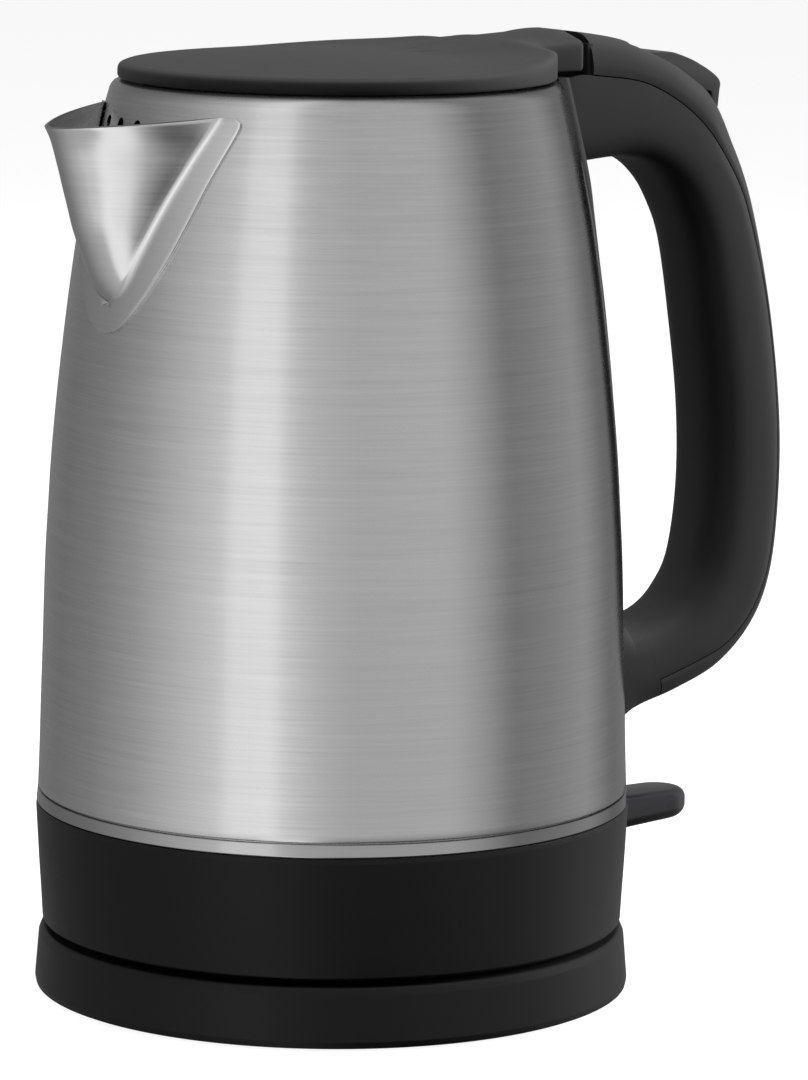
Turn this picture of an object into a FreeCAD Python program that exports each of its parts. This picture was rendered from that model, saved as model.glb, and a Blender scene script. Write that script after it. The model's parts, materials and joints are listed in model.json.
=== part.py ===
import FreeCAD, Part
import math
import os

from FreeCAD import Vector

# Cordless jug kettle, about 1.7 litres, standing on its round power base. Millimetres.
# The jug's axis is Z, the table is z = 0, the spout points to -X and the handle to +X.

# Angle where turned faces start and end, clear of the slots and screws
TURN_START = 100.0

# Power base
BASE_RADIUS = 75.4
BASE_TOP = 15.6
BASE_SKIRT = 0.4
PLATE_TOP = 2.6
FOOT_CIRCLE = 60.0
SCREW_CIRCLE = 46.0
TOWER_RADIUS = 15.0
TOWER_TOP = 27.6
CORD_Z = 6.4
CORD_RADIUS = 3.4

# Plastic collar round the heater, and the bright ring above it
COLLAR_BOTTOM = 17.3
COLLAR_TOP = 47.8
COLLAR_BORE = 73.45
COLLAR_LEDGE = 40.0
COLLAR_INSIDE = 71.2
COLLAR_PROFILE = [(73.5, 18.4), (73.9, 25.0), (74.4, 33.0), (75.1, 46.0)]
COLLAR_EDGE = 75.1
TRIM_TOP = 51.2

# Steel jug: outer radius and height, from the step above the trim ring to the shoulder
SKIRT_TOP = 51.5
SKIRT_RADIUS = 73.4
WALL = 0.8
BODY_FOOT = (74.6, 52.0)
BODY_CURVE = [(74.25, 61.5), (73.5, 86.0), (72.75, 110.7), (71.3, 135.0),
              (68.6, 162.4), (64.5, 193.0), (60.8, 211.8), (57.0, 227.0)]
SHOULDER_MID = (56.05, 229.05)
SHOULDER_END = (54.0, 229.9)
NECK_RADIUS = 50.0
NECK_DEPTH = 225.5

# Lid, hinged behind the jug's mouth
LID_RADIUS = 54.8
LID_BOTTOM = 230.5
LID_EDGE = 234.0
PLUG_RADIUS = 48.6
PLUG_BOTTOM = 222.5
LUG_HALF = 5.0
BLOCK_HALF = 13.0
PIN_X = 62.3
PIN_Z = 235.3
PIN_RADIUS = 1.5
SWEEP_RADIUS = 5.5
POCKET_FLOOR = 229.0

# Spout: height, reach of the front ridge, angle of the sides at the nose, half width at the back
SPOUT_STATIONS = [(172.0, 61.0, 56.0, 8.5), (178.0, 66.8, 52.0, 11.0), (183.0, 70.2, 49.0, 13.5),
                  (189.5, 73.0, 47.5, 16.2), (196.0, 75.5, 48.5, 18.8), (203.2, 77.5, 49.5, 22.0),
                  (210.3, 79.5, 50.0, 25.1), (217.5, 81.6, 50.0, 27.4), (221.4, 83.5, 50.5, 28.0),
                  (226.0, 86.2, 51.0, 28.3)]
NOSE_RADIUS = 9.0
SPOUT_BACK = 46.0
SPOUT_RIM = [(-95.0, 220.05), (-45.0, 225.3)]
FLANGE_FOOT = 170.7
FLANGE_SIDE = [(18.5, 187.1), (22.8, 195.6), (27.6, 208.9), (30.6, 217.2), (31.9, 221.4)]
FLANGE_TOP = 224.6
HOLE_RADIUS = 1.6
HOLE_PITCH = 8.5
HOLE_TOP = 220.6
HOLE_ROW = 7.4
HOLE_ROWS = 5

# Handle: matching points of its outer and inner outline, from the lid end to the foot
HANDLE_HALF = 13.0
HANDLE_STATIONS = [((56.0, 240.6), (56.0, 205.8)), ((68.0, 239.5), (70.0, 206.6)),
                   ((81.7, 237.4), (80.5, 207.4)), ((96.0, 234.4), (90.0, 206.0)),
                   ((107.6, 229.4), (97.0, 201.0)), ((116.9, 213.2), (101.8, 193.2)),
                   ((124.9, 196.2), (106.0, 183.0)), ((132.1, 167.8), (109.5, 163.0)),
                   ((136.1, 140.0), (112.5, 140.0)), ((136.6, 118.0), (112.9, 119.0)),
                   ((134.4, 96.5), (110.2, 101.0)), ((128.4, 82.3), (105.2, 92.4)),
                   ((117.0, 71.6), (99.5, 87.8)), ((103.0, 65.9), (92.0, 85.4)),
                   ((90.5, 62.1), (85.5, 85.6)), ((84.0, 55.5), (82.0, 90.5)),
                   ((74.0, 50.0), (74.0, 95.0))]
HANDLE_WALL = 2.4
HANDLE_CORNER = 7.5
SEAM = [(87.5, 226.4), (103.8, 217.0), (115.5, 203.0), (122.0, 189.5), (128.4, 167.0),
        (132.2, 140.0), (132.6, 118.0), (130.4, 98.6), (124.9, 86.6), (116.4, 78.4),
        (106.9, 74.6), (98.6, 72.2)]
SEAM_FRONT = (66.0, 230.0)
SEAM_FOOT = [(96.6, 70.2), (94.6, 66.0), (93.0, 58.0)]
COVER_FRONT = 68.0

# Channel between handle and jug, which carries steam down to the switch
STRIP_HALF = 14.0
STRIP_FOOT = 27.5
STRIP_LINE = [(84.0, 44.0), (83.8, 59.0), (81.9, 93.0), (80.4, 131.0), (77.6, 159.0),
              (74.3, 181.0), (70.8, 202.7), (63.8, 228.0)]
STRIP_WALL = 2.2

# Lid release button on the handle
BUTTON_HALF = 8.8
BUTTON_GAP = 0.5
BUTTON_PIVOT = (93.0, 228.0)
BUTTON_FRONT = 84.2
BUTTON_BACK = [(88.0, 233.6), (92.0, 232.0), (96.0, 232.4), (99.5, 233.4),
               (105.0, 231.4), (109.4, 228.8), (112.0, 226.4)]

# Spring under the button
SPRING_X = 104.0
SPRING_Y = 6.0
SPRING_Z = 214.0

# Latch tongue that the button draws back
LATCH_Z = (214.0, 217.0)
LATCH_HALF = 2.5
LATCH_TIP = 48.8

# Switch lever
LEVER_HALF = 7.8
LEVER_Z = (31.8, 39.3)
LEVER_TIP = 109.8
LEVER_PIVOT = (74.0, 35.5)
LEVER_EDGE = 2.2

# Screws that hold the handle to the jug: height, seat of the head, and face of the bracket
HANDLE_SCREWS = [(74.0, 82.9, 79.0), (221.5, 64.6, 62.6)]
COLLAR_SCREW_CIRCLE = 68.4


def at(pair, y=0.0):
    """Point of the XZ plane, at a given y."""
    return Vector(pair[0], y, pair[1])


def outline(start, *moves, y=0.0):
    """Closed wire at one y. A pair is a line, two pairs an arc, and a list a smooth curve."""
    edges = []
    here = start
    for move in moves:
        if isinstance(move, list):
            curve = Part.BSplineCurve()
            curve.interpolate([at(p, y) for p in [here] + move])
            edges.append(curve.toShape())
            here = move[-1]
        elif isinstance(move[0], tuple):
            edges.append(Part.Arc(at(here, y), at(move[0], y), at(move[1], y)).toShape())
            here = move[1]
        else:
            edges.append(Part.LineSegment(at(here, y), at(move, y)).toShape())
            here = move
    if here != start:
        edges.append(Part.LineSegment(at(here, y), at(start, y)).toShape())
    return Part.Wire(edges)


def turned(start, *moves):
    """Solid of revolution about Z of an outline of (radius, height) points."""
    axis = Vector(0, 0, 1)
    solid = Part.Face(outline(start, *moves)).revolve(Vector(0, 0, 0), axis, 360)
    solid.rotate(Vector(0, 0, 0), axis, TURN_START)
    return solid


def slab(half, start, *moves):
    """Outline of (x, z) points, extruded from y = -half to y = half."""
    face = Part.Face(outline(start, *moves, y=-half))
    return face.extrude(Vector(0, 2 * half, 0))


def block(x0, x1, y0, y1, z0, z1):
    """Box between two corners."""
    return Part.makeBox(x1 - x0, y1 - y0, z1 - z0, Vector(x0, y0, z0))


def rod(radius, x, y, z0, z1):
    """Upright cylinder."""
    return Part.makeCylinder(radius, z1 - z0, Vector(x, y, z0))


def rod_x(radius, x0, x1, y, z):
    """Cylinder along X."""
    return Part.makeCylinder(radius, x1 - x0, Vector(x0, y, z), Vector(1, 0, 0))


def rod_y(radius, x, z, y0, y1):
    """Cylinder along Y."""
    return Part.makeCylinder(radius, y1 - y0, Vector(x, y0, z), Vector(0, 1, 0))


def joined(shapes):
    """One solid from overlapping or touching shapes."""
    return shapes[0].fuse(shapes[1:]).removeSplitter()


def on_circle(count, radius, first=0.0):
    """Points (x, y) evenly spaced round the axis, from a first angle in degrees."""
    angles = [math.radians(first + 360.0 * i / count) for i in range(count)]
    return [(radius * math.cos(a), radius * math.sin(a)) for a in angles]


def save(name, *solids):
    """Write one sub-part. Identical pieces share a file as separate solids."""
    shape = solids[0] if len(solids) == 1 else Part.makeCompound(list(solids))
    shape.exportStep("parts/" + name + ".step")


# Power base

def base_screw_points():
    return on_circle(3, SCREW_CIRCLE, 60.0)


def base_cover():
    shell = turned((73.7, BASE_SKIRT), ((74.95, 0.95), (BASE_RADIUS, 2.2)), (74.45, 13.9),
                   ((73.85, 15.1), (72.6, BASE_TOP)), (54.0, BASE_TOP), (52.0, 14.2),
                   (TOWER_RADIUS + 0.2, 14.2), (TOWER_RADIUS + 0.2, 12.2), (51.2, 12.2),
                   (53.2, 13.4), (71.6, 13.4), (73.0, 3.0), (73.0, BASE_SKIRT))
    bosses = [rod(3.2, x, y, PLATE_TOP, 12.6) for x, y in base_screw_points()]
    bores = [rod(1.3, x, y, PLATE_TOP, 9.6) for x, y in base_screw_points()]
    notch = block(66.0, 80.0, -6.0, 6.0, BASE_SKIRT - 1, 10.6)
    return joined([shell] + bosses).cut(bores + [notch])


def base_plate():
    plate = turned((0.0, 0.8), (72.9, 0.8), (72.9, PLATE_TOP), (0.0, PLATE_TOP))
    heads = [rod(2.7, x, y, 0.0, 1.8) for x, y in base_screw_points()]
    shanks = [rod(1.4, x, y, 0.0, 4.0) for x, y in base_screw_points()]
    return plate.cut(heads + shanks + [block(66.0, 80.0, -6.0, 6.0, 0.0, 10.0)])


def base_screws():
    return [rod(2.6, x, y, 0.9, 1.8).fuse(rod(1.25, x, y, 1.8, 9.0)).removeSplitter()
            for x, y in base_screw_points()]


def base_feet():
    feet = []
    for x, y in on_circle(4, FOOT_CIRCLE, 45.0):
        foot = rod(6.5, x, y, 0.0, 0.8)
        feet.append(foot)
    feet.append(rod(5.0, 0.0, 0.0, 0.0, 0.8))
    return feet


def cord_gland():
    """Bush in the rear notch of the skirt. It holds the supply cord."""
    bush = block(66.4, 75.0, -5.7, 5.7, 0.9, 10.3)
    lips = block(66.4, 70.6, -8.4, 8.4, 3.0, 10.3)
    return joined([bush, lips]).cut(rod_x(CORD_RADIUS, 60.0, 80.0, 0.0, CORD_Z))


def cord_clamp():
    """Saddle that grips the cord inside the base."""
    saddle = block(54.0, 60.0, -9.0, 9.0, PLATE_TOP, 10.6)
    return saddle.cut(rod_x(CORD_RADIUS, 50.0, 64.0, 0.0, CORD_Z))


def power_leads():
    """Three insulated leads from the clamp to the socket."""
    return [rod_x(0.9, 19.6, 56.0, y, CORD_Z) for y in (-2.1, 0.0, 2.1)]


def base_socket():
    """Round tower that the jug turns on, with a centre hole and a ring slot for its contacts."""
    body = turned((0.0, PLATE_TOP), (19.0, PLATE_TOP), (19.0, 12.2), (TOWER_RADIUS, 12.2),
                  (TOWER_RADIUS, TOWER_TOP - 1.6),
                  ((TOWER_RADIUS - 0.5, TOWER_TOP - 0.5), (TOWER_RADIUS - 1.6, TOWER_TOP)),
                  (0.0, TOWER_TOP))
    centre = rod(3.4, 0.0, 0.0, 9.0, 40.0)
    slot = turned((8.6, 13.0), (11.4, 13.0), (11.4, 40.0), (8.6, 40.0))
    return body.cut([centre, slot])


def socket_contacts():
    """Sprung brass contacts in the centre hole and on both sides of the ring slot."""
    return [turned((2.6, 9.0), (3.4, 9.0), (3.4, 20.0), (2.6, 20.0)),
            turned((8.6, 13.0), (9.1, 13.0), (9.1, 20.0), (8.6, 20.0)),
            turned((10.9, 13.0), (11.4, 13.0), (11.4, 20.0), (10.9, 20.0))]


# Connector carried by the jug

def contact_carrier():
    return turned((2.2, 29.4), (12.6, 29.4), (12.6, 32.4), (2.2, 32.4))


def contact_pin():
    return turned((0.0, 12.0), (1.4, 12.0), ((2.0, 12.4), (2.2, 13.4)), (2.2, 33.4), (0.0, 33.4))


def contact_ring():
    return turned((9.6, 15.0), (10.4, 15.0), (10.4, 29.4), (9.6, 29.4))


# Jug

def body_curve(inset=0.0):
    """Side of the jug, from the step above the trim ring to the shoulder."""
    return [(r - inset, z) for r, z in BODY_CURVE]


def jug_envelope():
    """Everything inside the outer faces of the collar, the ring and the steel jug."""
    return turned((0.0, COLLAR_BOTTOM), (72.6, COLLAR_BOTTOM), COLLAR_PROFILE,
                  (COLLAR_EDGE, COLLAR_TOP), (75.0, COLLAR_TOP), (74.65, TRIM_TOP),
                  (74.3, SKIRT_TOP), BODY_FOOT, body_curve(), (SHOULDER_MID, SHOULDER_END),
                  (0.0, SHOULDER_END[1]))


def strainer_holes():
    """Holes in the wall behind the spout, in rows that get shorter towards its foot."""
    holes = []
    for row in range(HOLE_ROWS):
        count = HOLE_ROWS - row
        for i in range(count):
            y = HOLE_PITCH * (i - (count - 1) / 2.0)
            holes.append(rod_x(HOLE_RADIUS, -72.0, -40.0, y, HOLE_TOP - HOLE_ROW * row))
    return holes


def body_shell():
    lip = NECK_RADIUS + WALL
    top = SHOULDER_END[1]
    inner = [(r, z) for r, z in reversed(body_curve(WALL))]
    shell = turned((SKIRT_RADIUS, COLLAR_LEDGE), (SKIRT_RADIUS, SKIRT_TOP),
                   (74.3, SKIRT_TOP), BODY_FOOT, body_curve(), (SHOULDER_MID, SHOULDER_END),
                   (51.4, top), ((50.4, top - 0.4), (NECK_RADIUS, top - 1.4)),
                   (NECK_RADIUS, NECK_DEPTH), (lip, NECK_DEPTH), (lip, top - 1.3),
                   ((lip + 0.2, top - 0.95), (51.6, top - WALL)), (54.0, top - WALL),
                   ((55.4, 228.4), inner[0]), inner[1:] + [(73.8, 52.4)],
                   (SKIRT_RADIUS - WALL, SKIRT_TOP), (SKIRT_RADIUS - WALL, COLLAR_LEDGE))
    return shell.cut(strainer_holes() + [latch_way()])


def spout_section(z, reach, angle, back, inset):
    """Plan of the spout at one height: round nose and bulging sides."""
    side = math.radians(angle)
    centre = reach - NOSE_RADIUS
    radius = NOSE_RADIUS - inset
    turn_x = centre + radius * math.sin(side)
    turn_y = radius * math.cos(side)
    root_y = back - inset
    chord = math.atan2(root_y - turn_y, turn_x - SPOUT_BACK)
    length = math.hypot(root_y - turn_y, turn_x - SPOUT_BACK)
    bulge = length / 2 * math.tan((side - chord) / 2)
    bend_x = (turn_x + SPOUT_BACK) / 2 + bulge * math.sin(chord)
    bend_y = (turn_y + root_y) / 2 + bulge * math.cos(chord)
    root = [Vector(-SPOUT_BACK, y, z) for y in (root_y, -root_y)]
    bend = [Vector(-bend_x, y, z) for y in (bend_y, -bend_y)]
    turn = [Vector(-turn_x, y, z) for y in (turn_y, -turn_y)]
    nose = Part.Arc(turn[0], Vector(-(centre + radius), 0, z), turn[1])
    return Part.Wire([Part.Arc(root[0], bend[0], turn[0]).toShape(), nose.toShape(),
                      Part.Arc(turn[1], bend[1], root[1]).toShape(),
                      Part.LineSegment(root[1], root[0]).toShape()])


def spout_form(inset):
    """Solid wedge of the spout, from below its foot to above its rim."""
    sections = [spout_section(*station, inset) for station in SPOUT_STATIONS]
    return Part.makeLoft(sections, True, False)


def spout_flange(hollow):
    """V-shaped band round the spout, lying on the wall of the jug."""
    outset = [(r, z) for r, z in reversed(body_curve(-WALL))]
    skin = turned(BODY_FOOT, body_curve(), outset[0],
                  outset[1:] + [(BODY_FOOT[0] + WALL, BODY_FOOT[1])])
    mirrored = [(-y, z) for y, z in reversed(FLANGE_SIDE)]
    shape = slab(90.0, (0.0, FLANGE_FOOT), ((7.2, 172.9), (12.3, 178.2)), FLANGE_SIDE,
                 ((32.2, 223.4), (30.4, FLANGE_TOP)), (-30.4, FLANGE_TOP),
                 ((-32.2, 223.4), mirrored[0]), mirrored[1:] + [(-12.3, 178.2)],
                 ((-7.2, 172.9), (0.0, FLANGE_FOOT)))
    shape.rotate(Vector(0, 0, 0), Vector(0, 0, 1), 90)
    front = block(-90.0, -30.0, -40.0, 40.0, 160.0, 230.0)
    return skin.common(shape).common(front).cut(hollow)


def spout():
    """Pressed spout with its welded flange, open to the strainer holes behind it."""
    hollow = spout_form(WALL)
    above_rim = slab(60.0, SPOUT_RIM[0], SPOUT_RIM[1], (-45.0, 240.0), (-95.0, 240.0))
    beak = spout_form(0.0).cut([hollow, jug_envelope(), above_rim])
    return joined([beak, spout_flange(hollow)])


def trim_ring():
    return turned((COLLAR_BORE, COLLAR_TOP), (75.0, COLLAR_TOP), (74.65, TRIM_TOP),
                  (COLLAR_BORE, TRIM_TOP))


def base_collar():
    shell = turned((72.6, COLLAR_BOTTOM), COLLAR_PROFILE, (COLLAR_EDGE, COLLAR_TOP),
                   (COLLAR_BORE, COLLAR_TOP), (COLLAR_BORE, COLLAR_LEDGE),
                   (72.0, COLLAR_LEDGE), (COLLAR_INSIDE, 38.8), (COLLAR_INSIDE, COLLAR_BOTTOM))
    points = on_circle(4, COLLAR_SCREW_CIRCLE, 45.0)
    posts = [rod(3.4, x, y, 20.2, 37.0) for x, y in points]
    bores = [rod(1.3, x, y, 20.2, 30.0) for x, y in points]
    lever_way = block(60.0, 90.0, -11.0, 11.0, 28.4, 39.6)
    return joined([shell] + posts).cut(bores + [lever_way])


def underside_cover():
    """Plate under the jug, with the ring that it stands on."""
    plate = turned((15.8, 18.0), (57.0, 18.0), (57.0, 15.9), (61.0, 15.9), (61.0, 18.0),
                   (COLLAR_INSIDE, 18.0), (COLLAR_INSIDE, 20.2), (15.8, 20.2))
    points = on_circle(4, COLLAR_SCREW_CIRCLE, 45.0)
    holes = [rod(2.5, x, y, 17.0, 19.0) for x, y in points]
    holes += [rod(1.4, x, y, 17.0, 21.0) for x, y in points]
    return plate.cut(holes)


def underside_screws():
    return [rod(2.4, x, y, 18.0, 19.0).fuse(rod(1.25, x, y, 19.0, 29.0)).removeSplitter()
            for x, y in on_circle(4, COLLAR_SCREW_CIRCLE, 45.0)]


# Heater and controls inside the collar

def heater_plate():
    """Floor of the jug, with a rim brazed into the steel skirt."""
    return turned((0.0, 43.2), (71.8, 43.2), (71.8, 40.4), (72.6, 40.4), (72.6, 44.2),
                  (0.0, 44.2))


def heat_spreader():
    return turned((0.0, 40.2), (60.0, 40.2), (60.0, 43.2), (0.0, 43.2))


def heating_element():
    """Sheathed element, an open ring under the spreader."""
    ring = Part.makeTorus(45.0, 3.3, Vector(0, 0, 36.8), Vector(0, 0, 1), 0, 360, 320)
    ring.rotate(Vector(0, 0, 0), Vector(0, 0, 1), 200)
    return ring


def terminal_points():
    """Under the two ends of the element."""
    angles = [math.radians(a) for a in (158.0, 202.0)]
    return [(45.0 * math.cos(a), 45.0 * math.sin(a)) for a in angles]


def element_terminals():
    return [rod(1.6, x, y, 25.0, 33.4) for x, y in terminal_points()]


def element_leads():
    ends = [(x, y, -math.sqrt(30.0 ** 2 - (abs(y) - 0.9) ** 2)) for x, y in terminal_points()]
    return [rod_x(0.9, x + 1.6, end - 0.1, y, 27.0) for x, y, end in ends]


def control_housing():
    """Thermostat body, hollow below for the tower and the contacts."""
    body = turned((15.7, 20.2), (30.0, 20.2), (30.0, 36.0), (0.0, 36.0), (0.0, 33.8),
                  (13.0, 33.8), (13.0, 29.0), (15.7, 29.0))
    posts = [rod(3.0, 0.0, y, 35.0, 38.2) for y in (-16.0, 16.0)]
    return joined([body] + posts)


def control_bimetals():
    return [rod(7.0, 0.0, y, 38.2, 38.7) for y in (-16.0, 16.0)]


def cutout_switch():
    return block(50.5, 57.2, -8.0, 8.0, 20.2, 31.4)


# Handle

def handle_section(outer, inner, inset):
    """Rounded rectangle across the handle, between two points of its outlines."""
    length = math.hypot(outer[0] - inner[0], outer[1] - inner[1])
    along = Vector((outer[0] - inner[0]) / length, 0, (outer[1] - inner[1]) / length)
    across = Vector(0, 1, 0)
    middle = (at(outer) + at(inner)) * 0.5
    deep = length / 2 - inset
    wide = HANDLE_HALF - inset
    corner = HANDLE_CORNER - inset
    diagonal = corner * (1 - math.sqrt(0.5))
    edges = []
    for i, (u, v) in enumerate([(1, 1), (-1, 1), (-1, -1), (1, -1)]):
        ends = [middle + along * (u * deep) + across * (v * (wide - corner)),
                middle + along * (u * (deep - corner)) + across * (v * wide)]
        bend = middle + along * (u * (deep - diagonal)) + across * (v * (wide - diagonal))
        if i % 2:
            ends.reverse()
        if edges:
            edges.append(Part.LineSegment(here, ends[0]).toShape())
        else:
            first = ends[0]
        edges.append(Part.Arc(ends[0], bend, ends[1]).toShape())
        here = ends[1]
    edges.append(Part.LineSegment(here, first).toShape())
    return Part.Wire(edges)


def grip_form(inset):
    """Whole curve of the handle, run on into the jug at both ends."""
    sections = [handle_section(outer, inner, inset) for outer, inner in HANDLE_STATIONS]
    return Part.makeLoft(sections, True, False)


def strip_form():
    """Channel outside the wall of the jug, round at its foot and along its edges."""
    body = slab(STRIP_HALF, (60.0, STRIP_FOOT), (81.0, STRIP_FOOT),
                ((83.2, 28.5), (84.0, 31.0)), STRIP_LINE[0], STRIP_LINE[1:],
                (STRIP_LINE[-1][0] - 0.3, POCKET_FLOOR), (50.0, POCKET_FLOOR), (50.0, 60.0))
    edges = [e for e in body.Edges if e.BoundBox.XMin > 63.0 and e.BoundBox.YLength < 0.1
             and e.BoundBox.ZLength > 1.5]
    return body.makeFillet(2.6, edges)


def strip_hollow():
    line = [(x - STRIP_WALL, z) for x, z in STRIP_LINE]
    foot = STRIP_FOOT + STRIP_WALL
    return slab(STRIP_HALF - STRIP_WALL, (60.0, foot), (line[0][0], foot), line[0],
                line[1:-1] + [(64.4, 222.0)], (63.8, 224.5), (50.0, 224.5), (50.0, 60.0))


def cover_side():
    """Region outside the seam between the two shells of the handle."""
    return slab(30.0, SEAM_FRONT, SEAM, SEAM_FOOT[0], SEAM_FOOT[1], SEAM_FOOT[2],
                (160.0, 58.0), (160.0, 260.0), (SEAM_FRONT[0], 260.0))


def latch_way():
    """Slot for the latch tongue through the wall, the channel and the ribs."""
    return block(54.0, 96.0, -LATCH_HALF - 0.5, LATCH_HALF + 0.5, LATCH_Z[0] - 0.5,
                 LATCH_Z[1] + 0.5)


def hinge_lug():
    """Two knuckles on top of the handle, with the spring between them."""
    knuckles = []
    for y in (-LUG_HALF, LUG_HALF - 2.0):
        knuckles.append(rod_y(4.0, PIN_X, PIN_Z, y, y + 2.0))
        knuckles.append(block(PIN_X - 2.2, PIN_X + 2.2, y, y + 2.0, 226.0, PIN_Z))
    return knuckles


def handle_hollow():
    """Inside of the handle, with the wall of the channel left standing."""
    return grip_form(HANDLE_WALL).cut(strip_form())


def handle_inner(grip, hollow):
    """Inner shell of the handle, in one piece with the channel."""
    ribs = [block(x - 1.0, x + 1.0, -12.0, 12.0, 200.0, 219.0) for x in (77.0, 92.0)]
    seat = rod(2.4, SPRING_X, SPRING_Y, 170.0, SPRING_Z)
    inside = [part.common(grip) for part in ribs + [seat]]
    shell = grip.fuse([strip_form()]).cut([hollow, strip_hollow()])
    shell = shell.fuse(inside).cut([cover_side(), jug_envelope(), latch_way()])
    shell = shell.cut(block(40.0, COVER_FRONT, -30.0, 30.0, POCKET_FLOOR, 260.0))
    lever_way = block(76.0, 90.0, -LEVER_HALF - 0.5, LEVER_HALF + 0.5, 29.2, 39.8)
    lever_back = block(60.0, 76.1, -11.0, 11.0, STRIP_FOOT + STRIP_WALL, 39.6)
    pin = rod_y(PIN_RADIUS, PIN_X, PIN_Z, -20.0, 20.0)
    screws = []
    for z, seat_x, face_x in HANDLE_SCREWS:
        screws.append(rod_x(3.0, seat_x, seat_x + 6.0, 0.0, z))
        screws.append(rod_x(1.7, face_x - 1.0, seat_x + 1.0, 0.0, z))
    shell = shell.fuse(hinge_lug()).cut(screws + [lever_way, lever_back, pin])
    return shell.removeSplitter()


def handle_cover(grip, hollow):
    """Outer shell of the handle, open on top for the button."""
    shell = grip.common(cover_side()).cut([hollow, jug_envelope()])
    front = block(40.0, COVER_FRONT, -30.0, 30.0, 200.0, 260.0)
    return shell.cut([front, button_opening(), button_pin()])


def handle_brackets():
    """Plates welded to the jug inside the channel."""
    plates = []
    for z, seat_x, face_x in HANDLE_SCREWS:
        plate = block(45.0, face_x, -7.0, 7.0, z - 2.6, z + 2.6)
        plates.append(plate.cut([jug_envelope(), rod_x(1.5, 40.0, 90.0, 0.0, z)]))
    return plates


def handle_screws():
    screws = []
    for z, seat_x, face_x in HANDLE_SCREWS:
        head = rod_x(2.8, seat_x, seat_x + 2.0, 0.0, z)
        shank = rod_x(1.5, face_x - 3.0, seat_x, 0.0, z)
        screws.append(joined([head, shank]))
    return screws


# Lid

def lid_plan():
    """Plan of the lid, the disc and the hinge block behind it."""
    disc = rod(LID_RADIUS, 0.0, 0.0, 220.0, 250.0)
    tail = block(40.0, 70.0, -BLOCK_HALF, BLOCK_HALF, 220.0, 250.0)
    return joined([disc, tail])


def lid_top():
    disc = turned((0.0, LID_BOTTOM), (54.2, LID_BOTTOM), (LID_RADIUS, 231.1),
                  (LID_RADIUS, 232.2), ((54.1, 233.6), (52.6, 234.2)),
                  [(40.0, 235.2), (20.0, 236.3), (0.0, 236.7)])
    rear = (67.0, PIN_Z + math.sqrt(SWEEP_RADIUS ** 2 - (67.0 - PIN_X) ** 2))
    ramp = slab(60.0, (-10.0, LID_BOTTOM), (-10.0, 234.4),
                [(13.0, 235.1), (30.0, 235.8), (38.0, 236.6), (44.5, 237.5), (49.0, 238.2),
                 (54.0, 239.3), (PIN_X, PIN_Z + SWEEP_RADIUS)],
                ((65.0, 240.09), rear), (67.0, 232.9), ((66.35, 231.1), (64.8, LID_BOTTOM)))
    slot = block(PIN_X - 4.4, 72.0, -LUG_HALF - 0.4, LUG_HALF + 0.4, 225.0, PIN_Z + 2.6)
    round_slot = rod_y(4.4, PIN_X, PIN_Z, -LUG_HALF - 0.4, LUG_HALF + 0.4)
    bore = rod_y(PIN_RADIUS + 0.06, PIN_X, PIN_Z, -11.3, 11.3)
    whole = disc.fuse([ramp.common(lid_plan())])
    return whole.cut([slot, round_slot, bore]).removeSplitter()


def lid_bottom():
    """Pan under the lid with a groove for the seal, and the arm that the latch stands behind."""
    pan = turned((0.0, PLUG_BOTTOM), (48.0, PLUG_BOTTOM), (PLUG_RADIUS, 223.1),
                 (PLUG_RADIUS, 225.6), (47.8, 225.6), (47.8, 228.6), (PLUG_RADIUS, 228.6),
                 (PLUG_RADIUS, LID_BOTTOM), (46.2, LID_BOTTOM), (46.2, 224.1), (0.0, 224.1))
    arm = block(43.5, 48.0, -3.0, 3.0, 212.5, 223.5)
    notch = block(46.2, 50.0, -4.0, 4.0, LATCH_Z[0] - 0.4, LATCH_Z[1] + 0.6)
    return joined([pan, arm]).cut(notch)


def lid_seal():
    return turned((47.8, 225.6), (49.0, 225.6), ((49.4, 227.1), (49.0, 228.6)), (47.8, 228.6))


def lid_hinge_pin():
    return rod_y(PIN_RADIUS, PIN_X, PIN_Z, -11.0, 11.0)


def coil_spring(radius, wire, pitch, length):
    """Coil along Z from the origin."""
    helix = Part.makeHelix(pitch, length, radius)
    section = Part.makeCircle(wire, Vector(radius, 0, 0), Vector(0, 1, 0))
    return Part.Wire(helix.Edges).makePipeShell([Part.Wire([section])], True, True)


def lid_spring():
    """Coil on the hinge pin between the knuckles."""
    coil = coil_spring(2.35, 0.4, 1.3, 4.8)
    coil.rotate(Vector(0, 0, 0), Vector(1, 0, 0), -90)
    coil.translate(Vector(PIN_X, -2.4, PIN_Z))
    return coil


# Lid release

def button_form():
    """Rocking pad with a dished front and a skirt behind."""
    return slab(BUTTON_HALF, (BUTTON_FRONT, 230.6), (BUTTON_FRONT, 236.0), BUTTON_BACK,
                ((113.3, 224.6), (113.4, 222.6)), (112.8, 218.9), (111.1, 218.9),
                (110.4, 223.2), (96.0, 226.6), (90.0, 226.6))


def button_opening():
    """Room for the pad in the top of the handle."""
    front = BUTTON_FRONT - BUTTON_GAP
    return slab(BUTTON_HALF + BUTTON_GAP, (front, 225.0), (front, 245.0), (125.0, 245.0),
                (125.0, 216.9), (108.0, 216.9), (104.0, 221.0))


def button_pin():
    return rod_y(1.2, BUTTON_PIVOT[0], BUTTON_PIVOT[1], -11.6, 11.6)


def lid_button():
    barrel = rod_y(2.6, BUTTON_PIVOT[0], BUTTON_PIVOT[1], -BUTTON_HALF, BUTTON_HALF)
    post = slab(LATCH_HALF - 0.2, (100.0, 227.0), (100.0, 218.9), (104.2, 218.9),
                (107.0, 220.86), (107.0, 227.0))
    bore = rod_y(1.26, BUTTON_PIVOT[0], BUTTON_PIVOT[1], -20.0, 20.0)
    return joined([button_form(), barrel, post]).cut(bore)


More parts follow.
